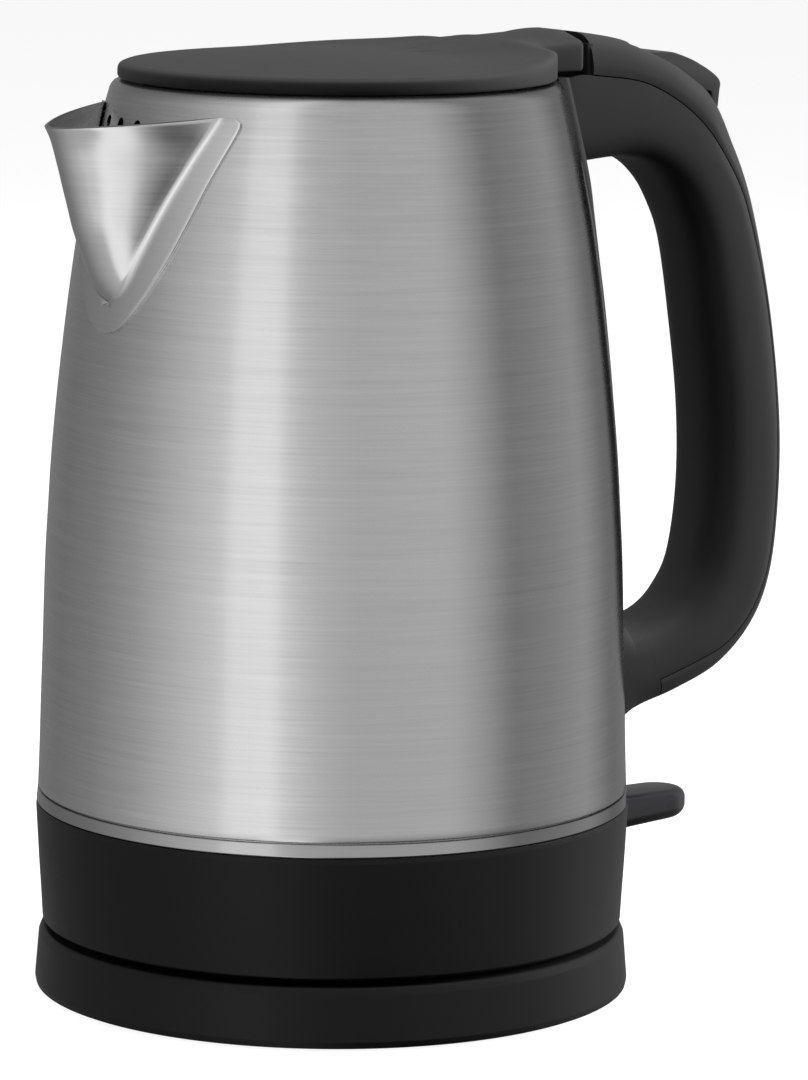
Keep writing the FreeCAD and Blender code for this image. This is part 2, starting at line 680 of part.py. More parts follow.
def button_spring():
    coil = coil_spring(1.9, 0.35, 1.9, 9.0)
    coil.translate(Vector(SPRING_X, SPRING_Y, SPRING_Z + 0.4))
    return coil


def latch_slider():
    """Tongue behind the lid's arm, with a ramp that the button's post pushes back."""
    return slab(LATCH_HALF, (LATCH_TIP, LATCH_Z[0]), (108.0, LATCH_Z[0]), (108.0, 220.85),
                (102.5, LATCH_Z[1]), (LATCH_TIP, LATCH_Z[1]))


# Switch lever

def switch_lever():
    """Paddle with a round end, on a barrel, with an arm that reaches the cut-out switch."""
    centre = LEVER_TIP - LEVER_HALF
    x0, z0 = LEVER_PIVOT
    paddle = block(x0, centre, -LEVER_HALF, LEVER_HALF, LEVER_Z[0], LEVER_Z[1])
    end = rod(LEVER_HALF, centre, 0.0, LEVER_Z[0], LEVER_Z[1])
    paddle = joined([paddle, end])
    edges = [e for e in paddle.Edges if e.BoundBox.ZLength < 0.1 and e.BoundBox.XMax > x0 + 1]
    paddle = paddle.makeFillet(LEVER_EDGE, edges)
    barrel = rod_y(3.8, x0, z0, -LEVER_HALF, LEVER_HALF)
    arm = block(58.0, x0, -3.0, 3.0, 32.2, 35.0)
    bore = rod_y(PIN_RADIUS + 0.06, x0, z0, -20.0, 20.0)
    return joined([paddle, barrel, arm]).cut(bore)


def lever_pin():
    return rod_y(PIN_RADIUS, LEVER_PIVOT[0], LEVER_PIVOT[1], -10.3, 10.3)


def switch_bracket():
    """Two cheeks that hold the lever's pin, joined by a bar above the lever."""
    parts = [block(76.0, 80.0, -8.3, 8.3, 41.0, 43.0)]
    for y in (-10.3, 8.3):
        parts.append(block(71.0, 80.0, y, y + 2.0, 30.0, 39.6))
        parts.append(block(75.8, 80.0, y, y + 2.0, 39.6, 43.0))
    bore = rod_y(PIN_RADIUS, LEVER_PIVOT[0], LEVER_PIVOT[1], -20.0, 20.0)
    return joined(parts).cut(bore)


def steam_bimetal():
    return block(77.6, 78.1, -5.0, 5.0, 43.0, 56.0)


def build():
    os.makedirs("parts", exist_ok=True)
    save("base_cover", base_cover())
    save("base_plate", base_plate())
    save("base_screws", *base_screws())
    save("base_feet", *base_feet())
    save("cord_gland", cord_gland())
    save("cord_clamp", cord_clamp())
    save("power_leads", *power_leads())
    save("base_socket", base_socket())
    save("socket_contacts", *socket_contacts())
    save("contact_carrier", contact_carrier())
    save("contact_pin", contact_pin())
    save("contact_ring", contact_ring())
    save("body_shell", body_shell())
    save("spout", spout())
    save("trim_ring", trim_ring())
    save("base_collar", base_collar())
    save("underside_cover", underside_cover())
    save("underside_screws", *underside_screws())
    save("heater_plate", heater_plate())
    save("heat_spreader", heat_spreader())
    save("heating_element", heating_element())
    save("element_terminals", *element_terminals())
    save("element_leads", *element_leads())
    save("control_housing", control_housing())
    save("control_bimetals", *control_bimetals())
    save("cutout_switch", cutout_switch())
    grip = grip_form(0.0)
    hollow = handle_hollow()
    save("handle_inner", handle_inner(grip, hollow))
    save("handle_cover", handle_cover(grip, hollow))
    save("handle_brackets", *handle_brackets())
    save("handle_screws", *handle_screws())
    save("lid_top", lid_top())
    save("lid_bottom", lid_bottom())
    save("lid_seal", lid_seal())
    save("lid_hinge_pin", lid_hinge_pin())
    save("lid_spring", lid_spring())
    save("lid_button", lid_button())
    save("button_pin", button_pin())
    save("button_spring", button_spring())
    save("latch_slider", latch_slider())
    save("switch_lever", switch_lever())
    save("lever_pin", lever_pin())
    save("switch_bracket", switch_bracket())
    save("steam_bimetal", steam_bimetal())


build()
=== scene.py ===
import json
import math

import bmesh
import bpy
from mathutils import Matrix, Quaternion, Vector


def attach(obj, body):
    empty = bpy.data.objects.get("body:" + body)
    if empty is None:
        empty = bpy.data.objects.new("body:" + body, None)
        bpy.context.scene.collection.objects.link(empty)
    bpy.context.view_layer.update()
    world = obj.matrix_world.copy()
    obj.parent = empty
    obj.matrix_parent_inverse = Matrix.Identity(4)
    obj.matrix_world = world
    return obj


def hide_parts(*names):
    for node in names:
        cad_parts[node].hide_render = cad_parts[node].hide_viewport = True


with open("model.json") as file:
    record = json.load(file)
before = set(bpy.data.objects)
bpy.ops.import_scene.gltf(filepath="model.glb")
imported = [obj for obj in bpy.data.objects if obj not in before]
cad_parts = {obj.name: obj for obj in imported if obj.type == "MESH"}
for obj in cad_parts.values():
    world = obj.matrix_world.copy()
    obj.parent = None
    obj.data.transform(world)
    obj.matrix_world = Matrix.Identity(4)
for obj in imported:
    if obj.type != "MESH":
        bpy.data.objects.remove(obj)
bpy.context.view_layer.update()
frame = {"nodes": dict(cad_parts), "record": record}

# Lengths are in millimetres until a mesh is made. The jug's axis is Z, the spout points to -X
# and the handle to +X.
MM = 0.001


# ---------------------------------------------------------------- mesh helpers

def smooth_line(points, steps=8):
    """Catmull-Rom curve through points of any size."""
    ends = [[2 * a - b for a, b in zip(points[0], points[1])],
            [2 * a - b for a, b in zip(points[-1], points[-2])]]
    padded = [ends[0]] + [list(p) for p in points] + [ends[1]]
    line = []
    for i in range(1, len(padded) - 2):
        p0, p1, p2, p3 = padded[i - 1:i + 3]
        for k in range(steps):
            t = k / steps
            line.append(tuple(
                0.5 * (2 * b + (c - a) * t + (2 * a - 5 * b + 4 * c - d) * t * t
                       + (3 * b - a - 3 * c + d) * t ** 3)
                for a, b, c, d in zip(p0, p1, p2, p3)))
    return line + [tuple(points[-1])]


def at_height(table, z):
    """Row of values at a height, by a straight run between the rows of a table."""
    if z <= table[0][0]:
        return table[0][1:]
    for low, high in zip(table, table[1:]):
        if z <= high[0]:
            t = (z - low[0]) / (high[0] - low[0])
            return tuple(a + (b - a) * t for a, b in zip(low[1:], high[1:]))
    return table[-1][1:]


def softened(corners, steps=5):
    """Closed polygon of (a, b, radius) corners, with each corner rounded by its radius."""
    line = []
    count = len(corners)
    for i, (a, b, radius) in enumerate(corners):
        here = Vector((a, b))
        if radius <= 0:
            line.append((a, b))
            continue
        back = Vector(corners[i - 1][:2]) - here
        ahead = Vector(corners[(i + 1) % count][:2]) - here
        half = back.angle(ahead) / 2
        reach = min(radius / math.tan(half), 0.49 * back.length, 0.49 * ahead.length)
        start = here + back.normalized() * reach
        end = here + ahead.normalized() * reach
        for k in range(steps + 1):
            t = k / steps
            p = start * (1 - t) ** 2 + here * 2 * t * (1 - t) + end * t * t
            line.append((p.x, p.y))
    return line


def piece(name, verts, faces, material, angle=35.0):
    """New object from points in millimetres, smooth except at edges sharper than an angle."""
    mesh = bpy.data.meshes.new(name)
    mesh.from_pydata([(x * MM, y * MM, z * MM) for x, y, z in verts], [], faces)
    work = bmesh.new()
    work.from_mesh(mesh)
    bmesh.ops.remove_doubles(work, verts=work.verts, dist=1e-6)
    bmesh.ops.dissolve_degenerate(work, edges=work.edges, dist=1e-7)
    bmesh.ops.recalc_face_normals(work, faces=work.faces)
    work.to_mesh(mesh)
    work.free()
    mesh.materials.append(material)
    obj = bpy.data.objects.new(name, mesh)
    bpy.context.scene.collection.objects.link(obj)
    shade(obj, angle)
    return obj


def shade(obj, angle=35.0):
    """Smooth shading, broken at edges sharper than an angle."""
    obj.data.shade_smooth()
    obj.data.set_sharp_from_angle(angle=math.radians(angle))


def grid_faces(rings, count, closed=True, wrap=False):
    """Quads between rings of equal count. closed joins each ring, wrap joins last to first."""
    faces = []
    for i in range(rings if wrap else rings - 1):
        j = (i + 1) % rings
        for k in range(count if closed else count - 1):
            m = (k + 1) % count
            faces.append((i * count + k, i * count + m, j * count + m, j * count + k))
    return faces


def lathe(name, profile, material, steps=240, angle=35.0, start=0.0):
    """Closed profile of (radius, height), turned about Z."""
    verts = []
    for i in range(steps):
        a = math.radians(start + 360.0 * i / steps)
        verts += [(r * math.cos(a), r * math.sin(a), z) for r, z in profile]
    return piece(name, verts, grid_faces(steps, len(profile), wrap=True), material, angle)


def loft(name, rings, material, angle=35.0):
    """Closed rings of equal count joined in order, with flat ends."""
    count = len(rings[0])
    verts = [p for ring in rings for p in ring]
    faces = grid_faces(len(rings), count)
    faces.append(tuple(range(count)))
    faces.append(tuple(range(len(verts) - count, len(verts))))
    return piece(name, verts, faces, material, angle)


def slab(name, outline, half, material, angle=35.0):
    """Closed outline of (x, z), from y = -half to y = half."""
    rings = [[(x, y, z) for x, z in outline] for y in (-half, half)]
    return loft(name, rings, material, angle)


def modify(obj, kind, angle=35.0, **settings):
    """Add one modifier, and keep its result as the mesh."""
    modifier = obj.modifiers.new(kind, kind)
    for key, value in settings.items():
        setattr(modifier, key, value)
    bpy.context.view_layer.update()
    graph = bpy.context.evaluated_depsgraph_get()
    result = bpy.data.meshes.new_from_object(obj.evaluated_get(graph))
    obj.modifiers.clear()
    obj.data = result
    shade(obj, angle)
    return obj


def cut(obj, *tools, angle=35.0):
    """Take the tools' shapes out of obj, and remove the tools."""
    for tool in tools:
        modify(obj, "BOOLEAN", angle, operation="DIFFERENCE", solver="EXACT", object=tool)
        bpy.data.objects.remove(tool)
    return obj


def circle(radius, x, z, steps):
    """Points (x, z) once round a centre."""
    return [(x + radius * math.cos(a), z + radius * math.sin(a))
            for a in (2 * math.pi * k / steps for k in range(steps))]


def cutter_box(x0, x1, y0, y1, z0, z1):
    """Box to be cut away from a piece."""
    corners = [(x0, z0), (x1, z0), (x1, z1), (x0, z1)]
    rings = [[(x, y, z) for x, z in corners] for y in (y0, y1)]
    return loft("cutter", rings, PLASTIC["base"])


def cutter_rod_x(radius, x0, x1, y, z, steps=24):
    """Round bar along X to be cut away from a piece."""
    rings = [[(x, p, q) for p, q in circle(radius, y, z, steps)] for x in (x0, x1)]
    return loft("cutter", rings, PLASTIC["base"])


def shown(obj, body, *nodes, slot):
    """Put a finished piece on its body, in place of CAD nodes."""
    if nodes:
        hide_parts(*nodes)
    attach(obj, body)
    return obj


# ---------------------------------------------------------------- materials

def new_material(name, **inputs):
    """Material, its node tree and its main shader, with some inputs set."""
    material = bpy.data.materials.new(name)
    material.use_nodes = True
    tree = material.node_tree
    shader = tree.nodes["Principled BSDF"]
    for key, value in inputs.items():
        shader.inputs[key.replace("_", " ")].default_value = value
    return material, tree, shader


def add(tree, kind, **values):
    """New node. Keys that name an input set its value; others set the node's own property."""
    node = tree.nodes.new(kind)
    for key, value in values.items():
        if hasattr(node, key):
            setattr(node, key, value)
        else:
            node.inputs[key].default_value = value
    return node


def math_node(tree, operation, a, b=None):
    """Output of a maths node. a and b are numbers or other nodes' outputs."""
    node = add(tree, "ShaderNodeMath", operation=operation)
    for socket, value in zip(node.inputs, (a, b)):
        if value is None:
            continue
        if isinstance(value, (int, float)):
            socket.default_value = value
        else:
            tree.links.new(value, socket)
    return node.outputs[0]


def ramp(tree, factor, low, high, out_low, out_high):
    """Output that goes from out_low to out_high as the factor goes from low to high."""
    node = add(tree, "ShaderNodeMapRange")
    for i, value in enumerate((low, high, out_low, out_high)):
        node.inputs[i + 1].default_value = value
    tree.links.new(factor, node.inputs[0])
    return node.outputs[0]


def streak_noise(tree, around, up, long_scale, fine_scale, detail=3.0):
    """Noise drawn out along the brushing, in cycles per metre each way."""
    combine = add(tree, "ShaderNodeCombineXYZ")
    tree.links.new(math_node(tree, "MULTIPLY", around, long_scale), combine.inputs[0])
    tree.links.new(math_node(tree, "MULTIPLY", up, fine_scale), combine.inputs[1])
    noise = add(tree, "ShaderNodeTexNoise", Scale=1.0, Detail=detail, Roughness=0.6)
    tree.links.new(combine.outputs[0], noise.inputs["Vector"])
    return noise.outputs["Fac"]


def two_tone(tree, shader, factor, color, spread):
    """Base colour that runs from a darker to a lighter shade of one colour."""
    mix = add(tree, "ShaderNodeMix", data_type="RGBA")
    tree.links.new(factor, mix.inputs["Factor"])
    ends = [s for s in mix.inputs if s.type == "RGBA"]
    ends[0].default_value = [c * (1 - spread) for c in color[:3]] + [1]
    ends[1].default_value = [min(1.0, c * (1 + spread)) for c in color[:3]] + [1]
    tree.links.new([s for s in mix.outputs if s.type == "RGBA"][0], shader.inputs["Base Color"])


def brushed(name, color, roughness, anisotropic, streak=0.10, bump=0.12):
    """Steel brushed round the axis: fine lines that run level round the jug."""
    material, tree, shader = new_material(name, Metallic=1.0, Anisotropic=anisotropic,
                                          Anisotropic_Rotation=0.25)
    coordinates = add(tree, "ShaderNodeTexCoord")
    split = add(tree, "ShaderNodeSeparateXYZ")
    tree.links.new(coordinates.outputs["Object"], split.inputs[0])
    x, y, z = split.outputs
    turn = math_node(tree, "ARCTAN2", math_node(tree, "MULTIPLY", y, -1.0),
                     math_node(tree, "MULTIPLY", x, -1.0))
    around = math_node(tree, "MULTIPLY", turn, 0.07)
    fine = streak_noise(tree, around, z, 30.0, 1500.0, 2.0)
    broad = streak_noise(tree, around, z, 14.0, 420.0, 2.0)
    both = math_node(tree, "ADD", math_node(tree, "MULTIPLY", fine, 0.65),
                     math_node(tree, "MULTIPLY", broad, 0.35))
    two_tone(tree, shader, ramp(tree, both, 0.32, 0.68, 0.0, 1.0), color, streak)
    tree.links.new(ramp(tree, both, 0.3, 0.7, roughness - 0.03, roughness + 0.04),
                   shader.inputs["Roughness"])
    tangent = add(tree, "ShaderNodeTangent", direction_type="RADIAL", axis="Z")
    tree.links.new(tangent.outputs[0], shader.inputs["Tangent"])
    relief = add(tree, "ShaderNodeBump", Strength=bump, Distance=0.00002)
    tree.links.new(both, relief.inputs["Height"])
    tree.links.new(relief.outputs[0], shader.inputs["Normal"])
    return material


def moulded(name, color, roughness, specular=0.35, grain=9000.0, bump=0.25):
    """Moulded plastic with a fine spark-eroded grain."""
    material, tree, shader = new_material(name)
    shader.inputs["Specular IOR Level"].default_value = specular
    coordinates = add(tree, "ShaderNodeTexCoord")
    noise = add(tree, "ShaderNodeTexNoise", Scale=grain, Detail=2.0)
    cloud = add(tree, "ShaderNodeTexNoise", Scale=60.0, Detail=3.0)
    for node in (noise, cloud):
        tree.links.new(coordinates.outputs["Object"], node.inputs["Vector"])
    two_tone(tree, shader, cloud.outputs["Fac"], color, 0.1)
    tree.links.new(ramp(tree, cloud.outputs["Fac"], 0.3, 0.7, roughness - 0.03,
                        roughness + 0.03), shader.inputs["Roughness"])
    relief = add(tree, "ShaderNodeBump", Strength=bump, Distance=0.00003)
    tree.links.new(noise.outputs["Fac"], relief.inputs["Height"])
    tree.links.new(relief.outputs[0], shader.inputs["Normal"])
    return material


def cast_metal(name, color, roughness, grain=2500.0):
    """Plain bare metal with a fine mottle."""
    material, tree, shader = new_material(name, Metallic=1.0)
    shader.inputs["Base Color"].default_value = color
    coordinates = add(tree, "ShaderNodeTexCoord")
    noise = add(tree, "ShaderNodeTexNoise", Scale=grain, Detail=3.0)
    tree.links.new(coordinates.outputs["Object"], noise.inputs["Vector"])
    tree.links.new(ramp(tree, noise.outputs["Fac"], 0.3, 0.7, roughness - 0.06,
                        roughness + 0.06), shader.inputs["Roughness"])
    relief = add(tree, "ShaderNodeBump", Strength=0.15, Distance=0.00003)
    tree.links.new(noise.outputs["Fac"], relief.inputs["Height"])
    tree.links.new(relief.outputs[0], shader.inputs["Normal"])
    return material


STEEL = {
    "jug": brushed("brushed_steel", (0.61, 0.61, 0.61, 1), 0.26, 0.87),
    "spout": brushed("spout_steel", (0.64, 0.64, 0.64, 1), 0.17, 0.35, streak=0.04, bump=0.04),
    "ring": brushed("ring_steel", (0.42, 0.42, 0.42, 1), 0.14, 0.3, streak=0.03, bump=0.02),
}
PLASTIC = {
    "base": moulded("base_plastic", (0.014, 0.014, 0.0145, 1), 0.36, specular=0.19),
    "grip": moulded("grip_plastic", (0.032, 0.032, 0.033, 1), 0.45, specular=0.10),
    "cover": moulded("cover_plastic", (0.034, 0.034, 0.035, 1), 0.45, specular=0.12),
    "lid": moulded("lid_plastic", (0.035, 0.035, 0.0355, 1), 0.45, specular=0.12),
    # The button is the cover's black plastic. Its colour is made lighter as painted light, for
    # the light that its rounded top catches.
    "button": moulded("button_plastic_painted_light", (0.046, 0.046, 0.047, 1), 0.48, specular=0.15),
    "under": moulded("under_plastic", (0.02, 0.02, 0.02, 1), 0.5),
    "latch": moulded("latch_plastic", (0.05, 0.05, 0.05, 1), 0.45),
    "lever": moulded("lever_plastic", (0.022, 0.022, 0.024, 1), 0.14, specular=0.7, bump=0.03),
    "seal": moulded("silicone", (0.42, 0.42, 0.40, 1), 0.55),
    "leads": moulded("lead_insulation", (0.45, 0.18, 0.05, 1), 0.45),
}
METAL = {
    "aluminium": cast_metal("aluminium", (0.72, 0.72, 0.72, 1), 0.42),
    "heater": cast_metal("heater_steel", (0.55, 0.54, 0.52, 1), 0.35),
    "plated": cast_metal("plated_steel", (0.62, 0.62, 0.60, 1), 0.3),
    "brass": cast_metal("contact_brass", (0.70, 0.50, 0.22, 1), 0.25),
}
SLOT_LOOK = {
    "base_plastic": PLASTIC["base"], "under_plastic": PLASTIC["under"],
    "handle_inner_plastic": PLASTIC["grip"], "handle_cover_plastic": PLASTIC["cover"],
    "lid_plastic": PLASTIC["lid"], "lever_plastic": PLASTIC["lever"],
    "brushed_steel": STEEL["jug"], "bright_steel": STEEL["ring"],
    "heater_steel": METAL["heater"], "aluminium": METAL["aluminium"],
    "plated_steel": METAL["plated"], "latch_plastic": PLASTIC["latch"],
    "contact_brass": METAL["brass"], "silicone": PLASTIC["seal"],
    "lead_insulation": PLASTIC["leads"],
}


def dress_cad_nodes():
    """Give every CAD node its finish; the ones that show are replaced later."""
    slots = {s["node"]: s["material_slot"] for s in frame["record"]["subparts"]}
    for name, obj in frame["nodes"].items():
        obj.data.materials.clear()
        obj.data.materials.append(SLOT_LOOK[slots[name]])


# ---------------------------------------------------------------- jug

# Radius and height of the jug's wall, from its foot up
BODY_SIDE = [(74.6, 52.0), (74.25, 61.5), (73.9, 73.9), (73.5, 86.0), (73.15, 98.5),
             (72.75, 110.7), (72.05, 123.0), (71.3, 135.0), (70.1, 148.7), (68.6, 162.4),
             (66.75, 177.5), (64.5, 193.0), (62.5, 203.4), (60.8, 211.8), (58.9, 220.2),
             (57.0, 227.0)]
BODY_LINE = smooth_line(BODY_SIDE, 6)
BODY_RADII = [(z, r) for r, z in BODY_LINE]
WALL = 0.8
# Foot of the wall, which steps in behind the ring, and the lip's hidden inner face
WALL_FOOT = [(73.4, 40.0), (73.4, 51.3), (73.6, 51.5), (74.2, 51.55), (74.5, 51.7)]
WALL_FOOT_INSIDE = [(72.6, 51.5), (72.6, 40.0)]
LIP_INSIDE = [(50.8, 225.5), (50.8, 228.6), (51.6, 229.1), (54.0, 229.1), (55.4, 228.4)]
# Strainer: rows, radius of a hole, height of the top row, and steps across and down
STRAINER_ROWS = 5
STRAINER_HOLE = 1.6
STRAINER_TOP = 220.6
STRAINER_STEP = (8.5, 7.4)
# Half width of the gap in the collar for the channel
COLLAR_GAP = 11.0
# Slot for the latch tongue: half width, foot and top
LATCH_SLOT = (3.0, 213.5, 217.5)
# Rolled lip: over its shoulder, then down into the neck
SHOULDER = [(56.75, 227.9), (56.35, 228.65), (55.75, 229.35), (54.95, 229.75), (54.0, 229.9)]
NECK = [(51.4, 229.9), (50.75, 229.72), (50.25, 229.25), (50.0, 228.5), (50.0, 225.5)]


def body_radius(z):
    """Outer radius of the jug's wall at a height."""
    return at_height(BODY_RADII, z)[0]


def envelope(inset=0.2):
    """Solid inside the jug's skin, for trimming what is fixed to it."""
    outline = [(0.0, 17.0), (70.0, 17.0), (73.0, 24.0), (74.4, 46.0), (74.2, 51.8)]
    outline += [(r - inset, z) for r, z in BODY_LINE[2:]]
    outline += [(r - inset, z - inset) for r, z in SHOULDER] + [(0.0, 229.6)]
    return lathe("cutter", outline, PLASTIC["base"], steps=180, start=1.0)


def jug_shell():
    """Steel jug with its rolled lip, strainer holes and latch slot."""
    inner = [(r - WALL, z) for r, z in reversed(BODY_LINE[2:])]
    profile = (WALL_FOOT + BODY_LINE + SHOULDER + NECK + LIP_INSIDE + inner
               + WALL_FOOT_INSIDE)
    shell = lathe("jug_shell", profile, STEEL["jug"], steps=288, start=0.4)
    tools = []
    across, down = STRAINER_STEP
    for row in range(STRAINER_ROWS):
        count = STRAINER_ROWS - row
        for i in range(count):
            tools.append(cutter_rod_x(STRAINER_HOLE, -72.0, -40.0,
                                      across * (i - (count - 1) / 2), STRAINER_TOP - down * row))
    half, low, high = LATCH_SLOT
    tools.append(cutter_box(54.0, 96.0, -half, half, low, high))
    shown(cut(shell, *tools), "jug", "body_shell", slot="brushed_steel")


def trim_band():
    """Bright ring between the steel and the black skirt."""
    corners = [(73.45, 47.9, 0.1), (75.0, 47.9, 0.35), (74.65, 51.15, 0.35), (73.45, 51.15, 0.1)]
    band = lathe("trim_band", softened(corners), STEEL["ring"], steps=288)
    shown(band, "jug", "trim_ring", slot="bright_steel")


def collar_shell():
    """Black skirt under the jug, with a fine bead along its top edge."""
    corners = [(71.2, 17.9, 0.2), (72.6, 16.9, 0.5), (73.5, 17.8, 0.8), (73.9, 25.0, 8.0),
               (74.4, 33.0, 8.0), (75.1, 46.4, 1.5), (74.9, 47.7, 0.35), (73.45, 47.7, 0.1),
               (73.45, 40.0, 0.0), (72.0, 40.0, 0.0), (71.2, 38.8, 0.0)]
    collar = lathe("collar_shell", softened(corners), PLASTIC["base"], steps=288)
    way = cutter_box(60.0, 90.0, -COLLAR_GAP, COLLAR_GAP, 28.4, 39.6)
    shown(cut(collar, way), "jug", "base_collar", slot="base_plastic")


def base_shell():
    """Round power base with a dished top round the socket."""
    corners = [(73.0, 0.4, 0.2), (73.9, 0.4, 0.3), (75.1, 0.9, 0.5), (75.4, 2.4, 1.2),
               (74.45, 13.6, 1.5), (73.6, 15.6, 1.2), (54.2, 15.6, 1.0), (52.0, 14.2, 1.0),
               (15.2, 14.2, 0.0), (15.2, 12.2, 0.0), (51.2, 12.2, 0.0), (53.2, 13.4, 0.0),
               (71.6, 13.4, 0.0), (73.0, 3.0, 0.0)]
    shell = lathe("base_shell", softened(corners, 7), PLASTIC["base"], steps=288)
    notch = cutter_box(66.0, 80.0, -6.0, 6.0, -1.0, 10.6)
    shown(cut(shell, notch), "power_base", "base_cover", slot="base_plastic")


# ---------------------------------------------------------------- spout

# Height, reach of the front ridge, angle of the sides at the nose, half width at the back
SPOUT_FORM = [(172.0, 61.0, 56.0, 8.5), (178.0, 66.8, 52.0, 11.0), (183.0, 70.2, 49.0, 13.5),
              (189.5, 73.0, 47.5, 16.2), (196.0, 75.5, 48.5, 18.8), (203.2, 77.5, 49.5, 22.0),
              (210.3, 79.5, 50.0, 25.1), (217.5, 81.6, 50.0, 27.4), (221.4, 83.5, 50.5, 28.0),
              (226.0, 86.2, 51.0, 28.3)]
SPOUT_LINE = smooth_line(SPOUT_FORM, 6)
# Radius of the rounded ridge, and distance of the spout's back from the axis
NOSE = 9.0
BACK = 46.0
# Heights of the levels below the even ones, closer together where the shape turns
LEVELS = [170.72, 170.9, 171.2, 171.7, 172.4, 173.3, 174.4, 175.6, 176.6, 177.4, 177.8,
          178.4, 179.2, 180.3, 181.6]
LEVELS_EVEN = 183.0
# Height and half width of the flange's edge
FLANGE = smooth_line([(170.7, 0.05), (171.0, 2.6), (172.9, 7.2), (178.2, 12.3), (187.1, 18.5),
                      (195.6, 22.8), (208.9, 27.6), (217.2, 30.6), (221.4, 31.9),
                      (223.4, 32.0), (224.3, 31.2), (224.62, 30.2)], 4)
# Heights at which the spout leaves the flange and ends, and how its rim climbs to the jug
SPOUT_FOOT = 177.4
RIM = 221.2
RIM_SLOPE = 0.105
LIP_REACH = 84.0
# Distance from the middle of the fold between spout and flange to its two ends
FOLD_RADIUS = 1.5


def spout_side(z, share):
    """Point (reach, y) on half of the spout's plan, from the nose (0) to the root (1)."""
    reach, angle, back = at_height(SPOUT_LINE, z)
    side = math.radians(angle)
    centre = reach - NOSE
    turn_x = centre + NOSE * math.sin(side)
    turn_y = NOSE * math.cos(side)
    chord = math.atan2(back - turn_y, turn_x - BACK)
    bend = side - chord
    radius = math.hypot(back - turn_y, turn_x - BACK) / (2 * math.sin(bend))
    nose_run = NOSE * (math.pi / 2 - side)
    here = share * (nose_run + 2 * radius * bend)
    if here <= nose_run:
        a = here / NOSE
        return centre + NOSE * math.cos(a), NOSE * math.sin(a)
    heading = side - (here - nose_run) / radius
    return (turn_x - radius * (math.sin(side) - math.sin(heading)),
            turn_y + radius * (math.cos(heading) - math.cos(side)))


def level_height(level, reach):
    """Levels tilt from flat at the foot to the slope of the rim."""
    tilt = max(0.0, (level - SPOUT_FOOT) / (RIM - SPOUT_FOOT)) ** 2
    return level + tilt * RIM_SLOPE * (LIP_REACH - reach)


def spout_point(level, share):
    """Point of the spout at a level and a share of the way round its side."""
    z = level
    for _ in range(5):
        reach, y = spout_side(z, share)
        z = level_height(level, reach)
    return Vector((-reach, y, z))


def wall_share(level):
    """Where the spout's side meets the face of the flange."""
    low, high = 0.0, 1.0
    for _ in range(30):
        middle = (low + high) / 2
        p = spout_point(level, middle)
        if math.hypot(p.x, p.y) > body_radius(p.z) + WALL:
            low = middle
        else:
            high = middle
    return low


def flange_point(z, y):
    """Point on the flange's outer face, which lies on the jug's wall."""
    radius = body_radius(z) + WALL
    return Vector((-math.sqrt(radius * radius - y * y), y, z))


def spout_half_ring(level):
    """Points from the nose to the edge of the flange, round a small fold."""
    if level <= SPOUT_FOOT:
        edge = at_height(FLANGE, level)[0]
        fold_y = min(0.4, 0.2 * edge)
        spout_part = [flange_point(level, fold_y * k / 16) for k in range(16)]
        fold = [flange_point(level, fold_y + (edge - fold_y) * 0.05 * k) for k in range(5)]
        rest = [flange_point(level, fold[-1].y + (edge - fold[-1].y) * k / 7)
                for k in range(1, 8)]
        return spout_part + fold + rest
    share = wall_share(level)
    corner = spout_point(level, share)
    start = share * 0.9
    for _ in range(12):
        gap = (spout_point(level, start) - corner).length
        start = share - (share - start) * min(1.6, FOLD_RADIUS / max(gap, 1e-4))
        start = max(start, share * 0.35)
    first = spout_point(level, start)
    edge = at_height(FLANGE, corner.z)[0]
    last = flange_point(corner.z, min(corner.y + FOLD_RADIUS, (corner.y + edge) / 2))
    spout_part = [spout_point(level, start * k / 16) for k in range(16)]
    fold = [first * (1 - t) ** 2 + corner * 2 * t * (1 - t) + last * t * t
            for t in (k / 4 for k in range(5))]
    rest = [flange_point(corner.z, last.y + (edge - last.y) * k / 7) for k in range(1, 8)]
    return spout_part + fold + rest


def spout_shell():
    """Pressed spout and the V-shaped flange that it's welded on by, as one sheet."""
    steps = 44
    even = [LEVELS_EVEN + (RIM - LEVELS_EVEN) * k / steps for k in range(steps + 1)]
    rings = []
    for level in LEVELS + even:
        half = spout_half_ring(level)
        other = [Vector((p.x, -p.y, p.z)) for p in half[1:]]
        rings.append([tuple(p) for p in reversed(other)] + [tuple(p) for p in half])
    verts = [p for ring in rings for p in ring]
    faces = grid_faces(len(rings), len(rings[0]), closed=False)
    shell = piece("spout_shell", verts, faces, STEEL["spout"], 40.0)
    nose = max(shell.data.polygons, key=lambda f: -f.center.x)
    if nose.normal.x > 0:
        shell.data.flip_normals()
    modify(shell, "SOLIDIFY", 40.0, thickness=WALL * MM, offset=-1.0, use_even_offset=True)
    modify(shell, "BEVEL", 40.0, width=0.22 * MM, segments=2, limit_method="ANGLE",
           angle_limit=math.radians(60.0))
    shown(shell, "jug", "spout", slot="brushed_steel")


# ---------------------------------------------------------------- handle

PIN = (62.3, 235.3)
# Knuckles: place either side of the middle, half thickness, radius, and half width of the leg
KNUCKLE_PLACE = 4.0
KNUCKLE_HALF = 1.0
KNUCKLE_RADIUS = 4.0
KNUCKLE_LEG = 2.2
KNUCKLE_FOOT = 228.4
